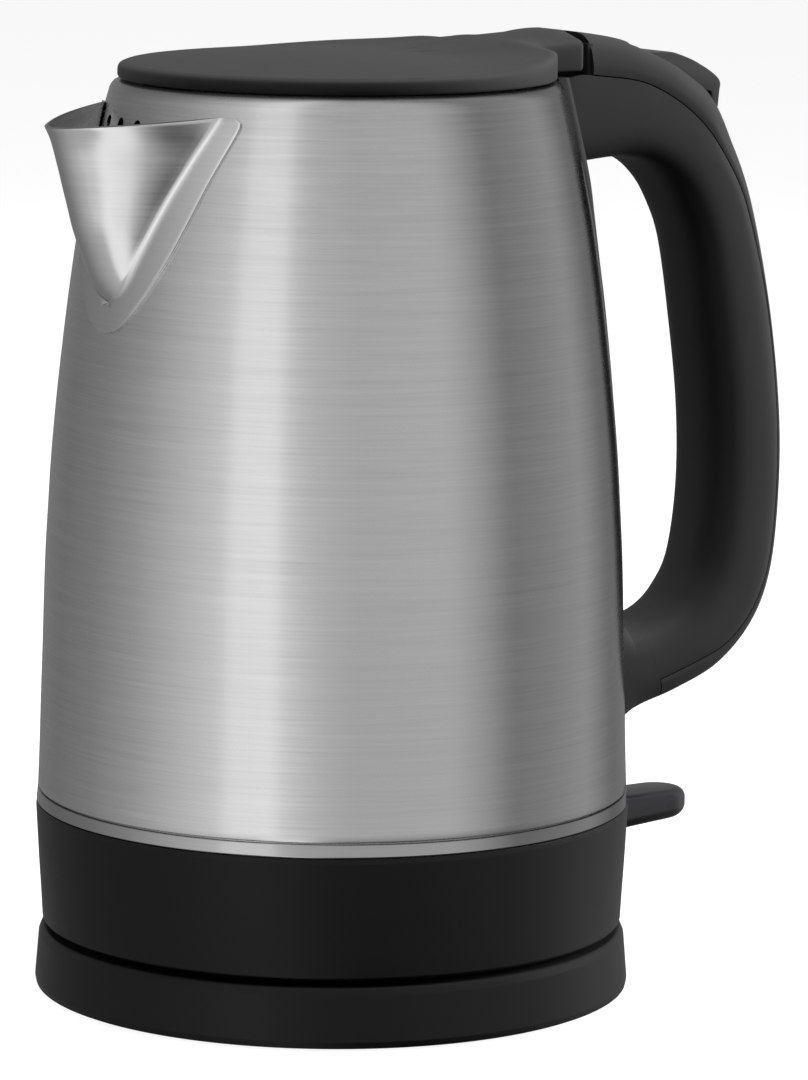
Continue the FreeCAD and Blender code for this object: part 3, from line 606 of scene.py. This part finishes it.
# Outer x and z, then inner x and z, from the lid end to the foot
HANDLE_LINE = smooth_line([
    (56.0, 240.9, 56.0, 205.8), (68.0, 240.1, 70.0, 206.6), (81.7, 238.0, 80.5, 207.4),
    (89.5, 235.3, 86.0, 207.0), (96.4, 232.4, 90.5, 205.8), (103.2, 228.7, 94.6, 203.2),
    (110.9, 223.3, 98.6, 198.8), (117.3, 213.4, 101.8, 193.2),
    (124.9, 196.2, 106.0, 183.0), (132.1, 167.8, 109.5, 163.0), (136.1, 140.0, 112.5, 140.0),
    (136.6, 118.0, 112.9, 119.0), (134.4, 96.5, 110.2, 101.0), (128.4, 82.3, 105.2, 92.4),
    (117.0, 71.6, 99.5, 87.8), (103.0, 65.9, 92.0, 85.4), (91.5, 62.7, 86.0, 85.4),
    (85.6, 59.6, 83.6, 87.5), (74.0, 50.0, 74.0, 95.0)], 10)
SEAM_LINE = [(50.0, 229.0), (62.3, 229.0), (65.0, 229.5)] + smooth_line([
    (68.4, 229.5), (87.5, 226.4), (103.8, 217.0), (115.5, 203.0), (122.0, 189.5),
    (128.4, 167.0), (132.2, 140.0), (132.6, 118.0), (130.4, 98.6), (124.9, 86.6),
    (116.4, 78.4), (106.9, 74.6), (98.0, 71.8), (92.0, 70.0)], 6)
HANDLE_HALF = 13.0
# The section is squarer across the arm than down the grip, and changes between two x
ARM_SQUARENESS = 4.2
GRIP_SQUARENESS = 2.9
ARM_LOW = 150.0
ARM_END = 98.0
GRIP_START = 118.0
# Where the cover begins and ends in x, and a height that only the foot lies below
COVER_FRONT = 68.3
COVER_FOOT = 97.0
FOOT_TOP = 100.0
LEAST_STEP = 0.3
# Half the slit between cover and grip, and how far their edges are drawn in beside it
SEAM_GAP = 0.16
SEAM_EDGE = 0.35
SHELL = 2.4
# Wall behind the lid's block, and the opening cut for the button
BULKHEAD = [(68.7, 225.0), (70.2, 225.0), (70.2, 237.2), (68.7, 237.2)]
BULKHEAD_HALF = 11.6
BUTTON_ROOM = [(83.7, 225.0), (83.7, 245.0), (125.0, 245.0), (125.0, 216.6), (108.0, 216.6),
               (104.0, 221.0)]
BUTTON_ROOM_HALF = 9.3


def crossing(a, b, line):
    """How far along a to b it crosses a line, or None."""
    for p, q in zip(line, line[1:]):
        ux, uz = b[0] - a[0], b[1] - a[1]
        vx, vz = q[0] - p[0], q[1] - p[1]
        base = ux * vz - uz * vx
        if abs(base) < 1e-9:
            continue
        t = ((p[0] - a[0]) * vz - (p[1] - a[1]) * vx) / base
        s = ((p[0] - a[0]) * uz - (p[1] - a[1]) * ux) / base
        if 0 <= t <= 1 and 0 <= s <= 1:
            return t
    return None


def squareness(x, z):
    """How square the section is: flatter across the top arm than down the grip."""
    if z < ARM_LOW:
        return GRIP_SQUARENESS
    share = min(1.0, max(0.0, (x - ARM_END) / (GRIP_START - ARM_END)))
    return ARM_SQUARENESS + (GRIP_SQUARENESS - ARM_SQUARENESS) * share


def oval(share, deep, wide, square):
    """Depth and width of a rounded section, once round as share runs from 0 to 1."""
    a = 2 * math.pi * share
    c, s = math.cos(a), math.sin(a)
    return (deep * math.copysign(abs(c) ** (2 / square), c),
            wide * math.copysign(abs(s) ** (2 / square), s))


def seam_share(depth, deep, square):
    """Share of the way round at which the section reaches a depth from its outer face."""
    level = max(-0.999, min(0.999, (deep - depth) / deep))
    c = math.copysign(abs(level) ** (square / 2), level)
    return math.acos(c) / (2 * math.pi)


def handle_ring(station, depth, outer_part, count=36):
    """Hollow section of one shell of the handle, as a closed ring of points."""
    ox, oz, ix, iz = station
    length = math.hypot(ox - ix, oz - iz)
    along = ((ox - ix) / length, (oz - iz) / length)
    mid = ((ox + ix) / 2, (oz + iz) / 2)
    square = squareness(ox, oz)
    points = []
    for inset, order in ((0.0, 1), (SHELL, -1)):
        deep = length / 2 - inset
        wide = HANDLE_HALF - inset
        gap = -SEAM_GAP if outer_part else SEAM_GAP
        share = seam_share(depth + gap - inset, deep, square)
        if outer_part:
            shares = [-share + 2 * share * k / (count - 1) for k in range(count)]
        else:
            shares = [share + (1 - 2 * share) * k / (count - 1) for k in range(count)]
        row = []
        for k, s in enumerate(shares):
            u, v = oval(s, deep, wide, square)
            if inset == 0.0 and k in (0, count - 1):
                v *= 1 - SEAM_EDGE / wide
            row.append((mid[0] + along[0] * u, v, mid[1] + along[1] * u))
        points += row[::order]
    return points


def at_foot(x):
    """Section of the handle's foot at a given outer x."""
    for a, b in zip(HANDLE_LINE, HANDLE_LINE[1:]):
        if a[1] < FOOT_TOP and b[0] <= x <= a[0]:
            t = (a[0] - x) / (a[0] - b[0])
            return tuple(p + (q - p) * t for p, q in zip(a, b))


def handle_parts():
    """Outer cover, the inner shell beside it, and the closed foot below the cover's end."""
    cover, inner, foot = [], [], []
    end = at_foot(COVER_FOOT)
    start = at_foot(COVER_FOOT - 2 * SEAM_GAP)
    beside = [s for s in HANDLE_LINE if s[1] > FOOT_TOP or s[0] > COVER_FOOT + LEAST_STEP]
    below = [s for s in HANDLE_LINE if s[1] < FOOT_TOP and s[0] < start[0] - LEAST_STEP]
    share = 0.0
    for station in beside + [end, start]:
        outer, inside = station[:2], station[2:]
        found = crossing(outer, inside, SEAM_LINE)
        share = share if found is None else found
        length = math.hypot(outer[0] - inside[0], outer[1] - inside[1])
        if outer[0] >= COVER_FRONT and station is not start:
            cover.append(handle_ring(station, share * length, True))
        inner.append(handle_ring(station, share * length, False))
    for station in [start] + below:
        foot.append(handle_ring(station, 0.0, False))
    shell = loft("handle_cover_shell", cover, PLASTIC["cover"], 40.0)
    grip = loft("handle_grip_shell", inner, PLASTIC["grip"], 40.0)
    return shell, grip, loft("handle_foot_shell", foot, PLASTIC["grip"], 40.0)


# Height and outer x of the channel's back, from its foot up
STRIP = smooth_line([(27.5, 80.6), (28.3, 82.2), (30.6, 83.2), (34.0, 83.9), (44.0, 84.0),
                     (59.0, 83.8), (93.0, 81.9), (112.0, 81.2), (131.0, 80.4), (145.6, 79.2),
                     (159.0, 77.6), (172.0, 75.8), (181.0, 74.3), (193.0, 72.4),
                     (202.7, 70.8), (215.0, 67.6), (229.0, 63.6)], 5)
# Half width, edge radius and crown of the channel, and the x of its front inside the jug
STRIP_HALF = 14.0
STRIP_EDGE = 2.6
STRIP_CROWN = 1.2
STRIP_FRONT = 58.0
# Half width of the way cut in the channel for the lever
LEVER_WAY = 8.3


def strip_ring(x, z):
    """Level section of the channel: crowned back, round edges, front inside the jug."""
    back = x - STRIP_CROWN
    half = []
    for k in range(7):
        a = math.pi / 2 * k / 6
        half.append((back - STRIP_EDGE + STRIP_EDGE * math.sin(a),
                     STRIP_HALF - STRIP_EDGE + STRIP_EDGE * math.cos(a)))
    flat = STRIP_HALF - STRIP_EDGE
    crown = [(back + STRIP_CROWN * (1 - (y / flat) ** 2), y)
             for y in (flat * (1 - k / 6) for k in range(1, 7))]
    side = [(STRIP_FRONT, STRIP_HALF)] + half + crown
    other = [(px, -py) for px, py in reversed(side[:-1])]
    return [(px, py, z) for px, py in side + other]


def hinge_knuckles():
    """Two knuckles on top of the handle that hold the lid's pin."""
    low = math.acos(KNUCKLE_LEG / KNUCKLE_RADIUS)
    outline = [(PIN[0] + KNUCKLE_RADIUS * math.cos(a), PIN[1] + KNUCKLE_RADIUS * math.sin(a))
               for a in (-low + (math.pi + 2 * low) * k / 24 for k in range(25))]
    outline += [(PIN[0] - KNUCKLE_LEG, KNUCKLE_FOOT), (PIN[0] + KNUCKLE_LEG, KNUCKLE_FOOT)]
    for y in (KNUCKLE_PLACE, -KNUCKLE_PLACE):
        knuckle = slab("hinge_knuckle", outline, KNUCKLE_HALF, PLASTIC["grip"], 40.0)
        knuckle.data.transform(Matrix.Translation((0.0, y * MM, 0.0)))
        shown(knuckle, "jug", slot="handle_inner_plastic")


def handle():
    """Handle shells, the channel down the jug's back, the inner wall and the lid's knuckles."""
    shell, grip, foot = handle_parts()
    cut(shell, slab("cutter", BUTTON_ROOM, BUTTON_ROOM_HALF, PLASTIC["base"]), angle=40.0)
    shown(shell, "jug", "handle_cover", slot="handle_cover_plastic")
    cut(grip, envelope(), angle=40.0)
    shown(grip, "jug", "handle_inner", slot="handle_inner_plastic")
    shown(cut(foot, envelope(), angle=40.0), "jug", slot="handle_inner_plastic")
    channel = loft("steam_channel", [strip_ring(x, z) for z, x in STRIP], PLASTIC["grip"], 40.0)
    lever_way = cutter_box(60.0, 90.0, -LEVER_WAY, LEVER_WAY, 29.2, 39.8)
    cut(channel, envelope(), lever_way, angle=40.0)
    shown(channel, "jug", slot="handle_inner_plastic")
    wall = slab("handle_bulkhead", BULKHEAD, BULKHEAD_HALF, PLASTIC["grip"])
    shown(wall, "jug", slot="handle_inner_plastic")
    hinge_knuckles()


# ---------------------------------------------------------------- lid

# Radius about the pin that the hinge block keeps within, and height of the flat underside
SWEEP = 6.1
LID_UNDER = 230.5
LID_RADIUS = 54.8
LID_EDGE = 1.9
# Inset and drop of the rim, from its side up over a soft crease onto the plate
LID_RIM = [(0.0, 2.1), (0.03, 1.5), (0.14, 1.0), (0.36, 0.62), (0.70, 0.36), (0.85, 0.30),
           (0.98, 0.26), (1.4, 0.12), (LID_EDGE, 0.0)]
# Tail at the hinge: half width, x of its rear, and where the disc stops beside it, in degrees
TAIL_HALF = 13.0
TAIL_REAR = 67.0
TAIL_ANGLE = 17.5
# Height of the domed plate at its rim, rise of its middle and radius of the dome
DOME_RIM = 234.15
DOME_RISE = 2.5
DOME_RADIUS = 53.0
# Where the hinge block begins, how long it takes to form, and how far its sides drop
CROWN_START = 44.0
CROWN_RUN = 13.0
CROWN_DROP = 3.0
# Room for the knuckles: half width, radius about the pin, and height above it
SLOT_HALF = 5.4
SLOT_RADIUS = 4.4
SLOT_TOP = 2.6
# Height of the top along x
LID_RISE = smooth_line([(-60.0, 233.4), (-31.0, 234.0), (-10.0, 234.2), (5.0, 234.4),
                        (15.6, 235.0), (25.5, 235.7), (38.0, 236.6), (44.5, 237.5),
                        (49.0, 238.2), (53.0, 239.1), (57.0, 240.1), (62.3, 240.75),
                        (70.0, 240.75)], 4)
# How much more it rises along the middle, towards the hinge
LID_RIDGE = smooth_line([(-60.0, 0.0), (10.0, 0.0), (22.0, 0.4), (34.0, 1.1), (43.0, 1.5),
                         (50.0, 1.1), (57.0, 0.4), (62.3, 0.1), (70.0, 0.0)], 4)
# Distance from the middle at which the ridge begins to fall off, and where it ends
RIDGE_HALF = (8.0, 24.0)
# Shares of the way out from the lid's middle at which its top has a ring of points
TOP_RINGS = (0.985, 0.965, 0.94, 0.91, 0.87, 0.82, 0.75, 0.66, 0.55, 0.42, 0.28, 0.14, 0.03)


def eased(value, low, high):
    """0 below low, 1 above high, and a smooth step between them."""
    t = min(1.0, max(0.0, (value - low) / (high - low)))
    return t * t * (3 - 2 * t)


def soft_max(a, b, blend=0.5):
    """The larger of two heights, with a soft join between them."""
    gap = a - b
    return (a + b + math.sqrt(gap * gap + blend * blend)) / 2


def lid_height(x, y):
    """Height of the lid's top: a dome, with a ridge that becomes the hinge block."""
    dome = DOME_RIM + DOME_RISE * (1 - (math.hypot(x, y) / DOME_RADIUS) ** 2)
    ridge = at_height(LID_RIDGE, x)[0] * (1 - eased(abs(y), *RIDGE_HALF))
    top = soft_max(dome, at_height(LID_RISE, x)[0] + ridge)
    crown = eased(x, CROWN_START, CROWN_START + CROWN_RUN)
    top -= crown * CROWN_DROP * min(1.0, abs(y) / TAIL_HALF) ** 2.2
    if x > PIN[0]:
        top = min(top, PIN[1] + math.sqrt(max(0.01, SWEEP ** 2 - (x - PIN[0]) ** 2)))
    return top


def lid_underside(x):
    """Height of the lid's underside, which curves up behind the pin."""
    if x <= PIN[0]:
        return LID_UNDER
    return max(LID_UNDER, PIN[1] - math.sqrt(max(0.01, SWEEP ** 2 - (x - PIN[0]) ** 2)))


def lid_outline():
    """Plan of the lid: a disc, with a square tail at the hinge."""
    corners = []
    first = math.radians(TAIL_ANGLE)
    steps = 150
    for k in range(steps + 1):
        a = first + (2 * math.pi - 2 * first) * k / steps
        corners.append((LID_RADIUS * math.cos(a), LID_RADIUS * math.sin(a), 0.0))
    join = math.sqrt(LID_RADIUS ** 2 - TAIL_HALF ** 2)
    corners += [(join, -TAIL_HALF, 3.0), (60.0, -TAIL_HALF, 0.0), (TAIL_REAR, -TAIL_HALF, 1.8),
                (TAIL_REAR, -5.0, 0.0), (TAIL_REAR, 5.0, 0.0),
                (TAIL_REAR, TAIL_HALF, 1.8), (60.0, TAIL_HALF, 0.0), (join, TAIL_HALF, 3.0)]
    return softened(corners, 6)


def inset_line(line, distance):
    """Closed plan line moved to its left: inwards where it runs anticlockwise."""
    result = []
    count = len(line)
    for i, (x, y) in enumerate(line):
        ax, ay = line[i - 1]
        bx, by = line[(i + 1) % count]
        dx, dy = bx - ax, by - ay
        size = math.hypot(dx, dy)
        result.append((x - dy / size * distance, y + dx / size * distance))
    return result


def lid_shell():
    """Lid plate with a rounded edge, that rises at the back into the hinge block."""
    outline = lid_outline()
    rings = []
    for k in range(9):
        share = 0.02 + 0.98 * (k / 8) ** 1.3
        under = inset_line(outline, 0.7 + LID_EDGE)
        rings.append([(x * share, y * share, lid_underside(x * share)) for x, y in under])
    for inset, up in ((0.6, 0.0), (0.2, 0.15), (0.0, 0.6)):
        rings.append([(x, y, lid_underside(x) + up) for x, y in inset_line(outline, inset)])
    for inset, drop in LID_RIM:
        rings.append([(x, y, lid_height(x, y) - drop) for x, y in inset_line(outline, inset)])
    edge = inset_line(outline, LID_EDGE)
    for share in TOP_RINGS:
        rings.append([(x * share, y * share, lid_height(x * share, y * share))
                      for x, y in edge])
    lid = loft("lid_shell", rings, PLASTIC["lid"], 50.0)
    slot = cutter_box(PIN[0] - SLOT_RADIUS, 72.0, -SLOT_HALF, SLOT_HALF, 225.0,
                      PIN[1] + SLOT_TOP)
    arch = slab("cutter", circle(SLOT_RADIUS, *PIN, 32), SLOT_HALF, PLASTIC["base"])
    cut(lid, slot, arch, angle=50.0)
    shown(lid, "lid", "lid_top", slot="lid_plastic")


# ---------------------------------------------------------------- button and lever

# Outline of the pad: its top from front to rear, then its skirt and underside
PAD_TOP = smooth_line([(84.2, 236.3), (86.5, 235.5), (89.5, 234.6), (93.0, 234.2),
                       (96.5, 234.1), (99.2, 233.6), (104.1, 231.9), (107.4, 230.3),
                       (110.1, 228.8), (112.7, 226.9), (113.6, 225.4), (113.4, 223.6)], 4)
PAD_UNDER = [(112.9, 219.1), (111.2, 219.1), (110.4, 223.2), (96.0, 226.6), (84.2, 226.6)]
PAD_HALF = 8.8
PAD_EDGE = 1.3
# Lever: x of its root and tip, half width, height of its top, and radii of its two edges
LEVER_ROOT = 71.0
LEVER_TIP = 110.6
LEVER_HALF = 7.8
LEVER_TOP = 39.3
LEVER_UNDER_EDGE = 3.2
LEVER_TOP_EDGE = 2.6
# Places along x with a point on each side, where the underside steps
LEVER_STEP = (84.8, 86.4)
# Height of its underside along x, with a step where it leaves the channel
LEVER_UNDER = [(60.0, 31.8), (84.6, 31.8), (86.2, 30.3), (LEVER_TIP, 32.0), (120.0, 32.0)]


def button_pad():
    """Rocking pad with a dished front and soft edges."""
    pad = slab("button_pad", PAD_TOP + PAD_UNDER, PAD_HALF, PLASTIC["button"], 40.0)
    modify(pad, "BEVEL", 40.0, width=PAD_EDGE * MM, segments=4, limit_method="ANGLE",
           angle_limit=math.radians(50.0))
    shown(pad, "button", "lid_button", slot="handle_cover_plastic")


def lever_paddle():
    """Glossy switch paddle with a round end, that thins towards its tip."""
    half = LEVER_HALF
    plan = [(LEVER_ROOT, -half), (LEVER_ROOT, half)] + [(x, half) for x in LEVER_STEP]
    plan += [(LEVER_TIP - half + half * math.sin(a), half * math.cos(a))
             for a in (math.pi * k / 28 for k in range(29))]
    plan += [(x, -half) for x in reversed(LEVER_STEP)]
    rings = []
    for k in range(8):
        a = math.pi / 2 * k / 7
        line = inset_line(plan, -LEVER_UNDER_EDGE * (1 - math.sin(a)))
        rise = LEVER_UNDER_EDGE * (1 - math.cos(a))
        rings.append([(x, y, at_height(LEVER_UNDER, x)[0] + rise) for x, y in line])
    for k in range(8):
        a = math.pi / 2 * k / 7
        line = inset_line(plan, -LEVER_TOP_EDGE * (1 - math.cos(a)))
        height = LEVER_TOP - LEVER_TOP_EDGE * (1 - math.sin(a))
        rings.append([(x, y, height) for x, y in line])
    paddle = loft("lever_paddle", rings, PLASTIC["lever"], 50.0)
    shown(paddle, "lever", "switch_lever", slot="lever_plastic")


# ---------------------------------------------------------------- stage

# The camera's angles in degrees, distance and target in metres, and lens in millimetres
CAMERA_TURN = -34.5
CAMERA_RISE = 9.14
CAMERA_DISTANCE = 1.4543
CAMERA_LENS = 192.15
CAMERA_ROLL = 0.53
TARGET_HEIGHT = 0.1139
TARGET_ASIDE = 0.01763
FLOOR_HALF = 12.0
FLOOR_GLOW = 0.93


def camera():
    """Long lens from the front left, a little above the jug's middle."""
    turn, rise = math.radians(CAMERA_TURN), math.radians(CAMERA_RISE)
    forward = Vector((-math.sin(turn) * math.cos(rise), math.cos(turn) * math.cos(rise),
                      -math.sin(rise)))
    aside = Vector((math.cos(turn), math.sin(turn), 0.0))
    target = Vector((0.0, 0.0, TARGET_HEIGHT)) + aside * TARGET_ASIDE
    data = bpy.data.cameras.new("camera")
    data.lens = CAMERA_LENS
    data.sensor_width = 36.0
    data.clip_start = 0.05
    data.clip_end = 50.0
    obj = bpy.data.objects.new("camera", data)
    bpy.context.scene.collection.objects.link(obj)
    look = forward.to_track_quat("-Z", "Y")
    obj.rotation_mode = "QUATERNION"
    obj.rotation_quaternion = look @ Quaternion((0, 0, 1), math.radians(CAMERA_ROLL))
    obj.location = target - forward * CAMERA_DISTANCE
    bpy.context.scene.camera = obj


def floor():
    """White table top that glows a little, so that it shows almost no shadow."""
    mesh = bpy.data.meshes.new("floor")
    size = FLOOR_HALF
    mesh.from_pydata([(-size, -size, 0), (size, -size, 0), (size, size, 0), (-size, size, 0)],
                     [], [(0, 1, 2, 3)])
    obj = bpy.data.objects.new("floor", mesh)
    bpy.context.scene.collection.objects.link(obj)
    material, tree, shader = new_material("floor_white", Roughness=0.9)
    shader.inputs["Base Color"].default_value = (0.25, 0.25, 0.25, 1)
    shader.inputs["Specular IOR Level"].default_value = 0.0
    shader.inputs["Emission Color"].default_value = (1, 1, 1, 1)
    shader.inputs["Emission Strength"].default_value = FLOOR_GLOW
    mesh.materials.append(material)
    obj.visible_glossy = False
    obj.visible_diffuse = False


# Turn from the camera's side in degrees (left is negative), and the brightness there
STUDIO_WALL = [(-180, 0.22), (-135, 0.22), (-108, 0.30), (-85, 0.46), (-60, 0.77), (-43, 1.0),
               (-41, 1.28), (-22, 1.28), (-19, 0.93), (-10, 0.76), (10, 0.68), (48, 0.72),
               (60, 0.56), (76, 0.28), (95, 0.34), (118, 0.44), (140, 0.2), (180, 0.22)]
STUDIO_TABLE = [(-180, 0.15), (-120, 0.25), (-60, 0.5), (-30, 0.6), (-27, 1.25), (-12, 1.2),
                (-5, 0.5), (5, 0.15), (30, 0.06), (60, 0.06), (110, 0.12), (180, 0.15)]
BRIGHTEST = 1.3
# Heights, as parts of a unit, between which the walls give way to the table and the ceiling
WALL_TO_TABLE = (-0.3, -0.55)
WALL_TO_CEILING = (0.02, 0.45)
# How much of the walls' brightness is left at the ceiling
CEILING = 0.8
# Turn from the camera's side, height, distance and size in metres, and power of each lamp.
# They light the plastics only, since no reflection shows them; the steel shows the studio.
LAMPS = {"overhead": (110, 1.35, 0.25, 1.2, 29.0), "rim": (106, 0.40, 1.25, 0.7, 36.0),
         "fill": (-112, 0.30, 1.25, 0.6, 5.0)}
LAMP_AIM = 0.15


def brightness_table(tree, place, table):
    """Brightness all the way round, as a ramp between the rows of a table."""
    node = add(tree, "ShaderNodeValToRGB")
    elements = node.color_ramp.elements
    while len(elements) > 1:
        elements.remove(elements[-1])
    for i, (turn, bright) in enumerate(table):
        at = (turn + 180.0) / 360.0
        value = bright / BRIGHTEST
        element = elements[0] if i == 0 else elements.new(at)
        element.position = at
        element.color = (value, value, value, 1)
    tree.links.new(place, node.inputs[0])
    return node.outputs[0]


def studio():
    """Soft light from all round: a broad lamp left of the camera, dimmer walls elsewhere."""
    world = bpy.data.worlds.new("studio")
    bpy.context.scene.world = world
    world.use_nodes = True
    tree = world.node_tree
    tree.nodes.clear()
    coordinates = add(tree, "ShaderNodeTexCoord")
    split = add(tree, "ShaderNodeSeparateXYZ")
    turned = add(tree, "ShaderNodeVectorRotate", rotation_type="Z_AXIS")
    turned.inputs["Angle"].default_value = math.radians(90.0 - CAMERA_TURN)
    tree.links.new(coordinates.outputs["Generated"], turned.inputs["Vector"])
    tree.links.new(turned.outputs[0], split.inputs[0])
    angle = math_node(tree, "ARCTAN2", split.outputs[1], split.outputs[0])
    turned_z = split.outputs[2]
    place = ramp(tree, angle, -math.pi, math.pi, 0.0, 1.0)
    low = ramp(tree, turned_z, *WALL_TO_TABLE, 0.0, 1.0)
    level = add(tree, "ShaderNodeMixRGB", blend_type="MIX")
    tree.links.new(low, level.inputs[0])
    for socket, table in zip(level.inputs[1:], (STUDIO_WALL, STUDIO_TABLE)):
        tree.links.new(brightness_table(tree, place, table), socket)
    fade = ramp(tree, turned_z, *WALL_TO_CEILING, 1.0, CEILING)
    total = add(tree, "ShaderNodeMixRGB", blend_type="MULTIPLY", Fac=1.0)
    tree.links.new(level.outputs[0], total.inputs[1])
    tree.links.new(fade, total.inputs[2])
    around = add(tree, "ShaderNodeBackground", Strength=BRIGHTEST)
    tree.links.new(total.outputs[0], around.inputs["Color"])
    seen = add(tree, "ShaderNodeBackground", Strength=1.0)
    seen.inputs["Color"].default_value = (1, 1, 1, 1)
    path = add(tree, "ShaderNodeLightPath")
    mix = add(tree, "ShaderNodeMixShader")
    tree.links.new(path.outputs["Is Camera Ray"], mix.inputs[0])
    tree.links.new(around.outputs[0], mix.inputs[1])
    tree.links.new(seen.outputs[0], mix.inputs[2])
    output = add(tree, "ShaderNodeOutputWorld")
    tree.links.new(mix.outputs[0], output.inputs["Surface"])
    world.cycles_visibility.diffuse = False
    bpy.context.scene.view_settings.view_transform = "Standard"


def lamps():
    """Soft square lamps aimed at the kettle, which no reflection shows."""
    for name, (turn, height, distance, size, power) in LAMPS.items():
        data = bpy.data.lights.new(name, "AREA")
        data.size = size
        data.energy = power
        obj = bpy.data.objects.new(name, data)
        bpy.context.scene.collection.objects.link(obj)
        a = math.radians(CAMERA_TURN + turn)
        obj.location = (distance * math.sin(a), -distance * math.cos(a), height)
        aim = Vector((0.0, 0.0, LAMP_AIM)) - obj.location
        obj.rotation_mode = "QUATERNION"
        obj.rotation_quaternion = aim.to_track_quat("-Z", "Y")
        obj.visible_glossy = False
        obj.visible_camera = False


camera()
studio()
lamps()
floor()
dress_cad_nodes()
jug_shell()
trim_band()
collar_shell()
base_shell()
spout_shell()
handle()
lid_shell()
button_pad()
lever_paddle()
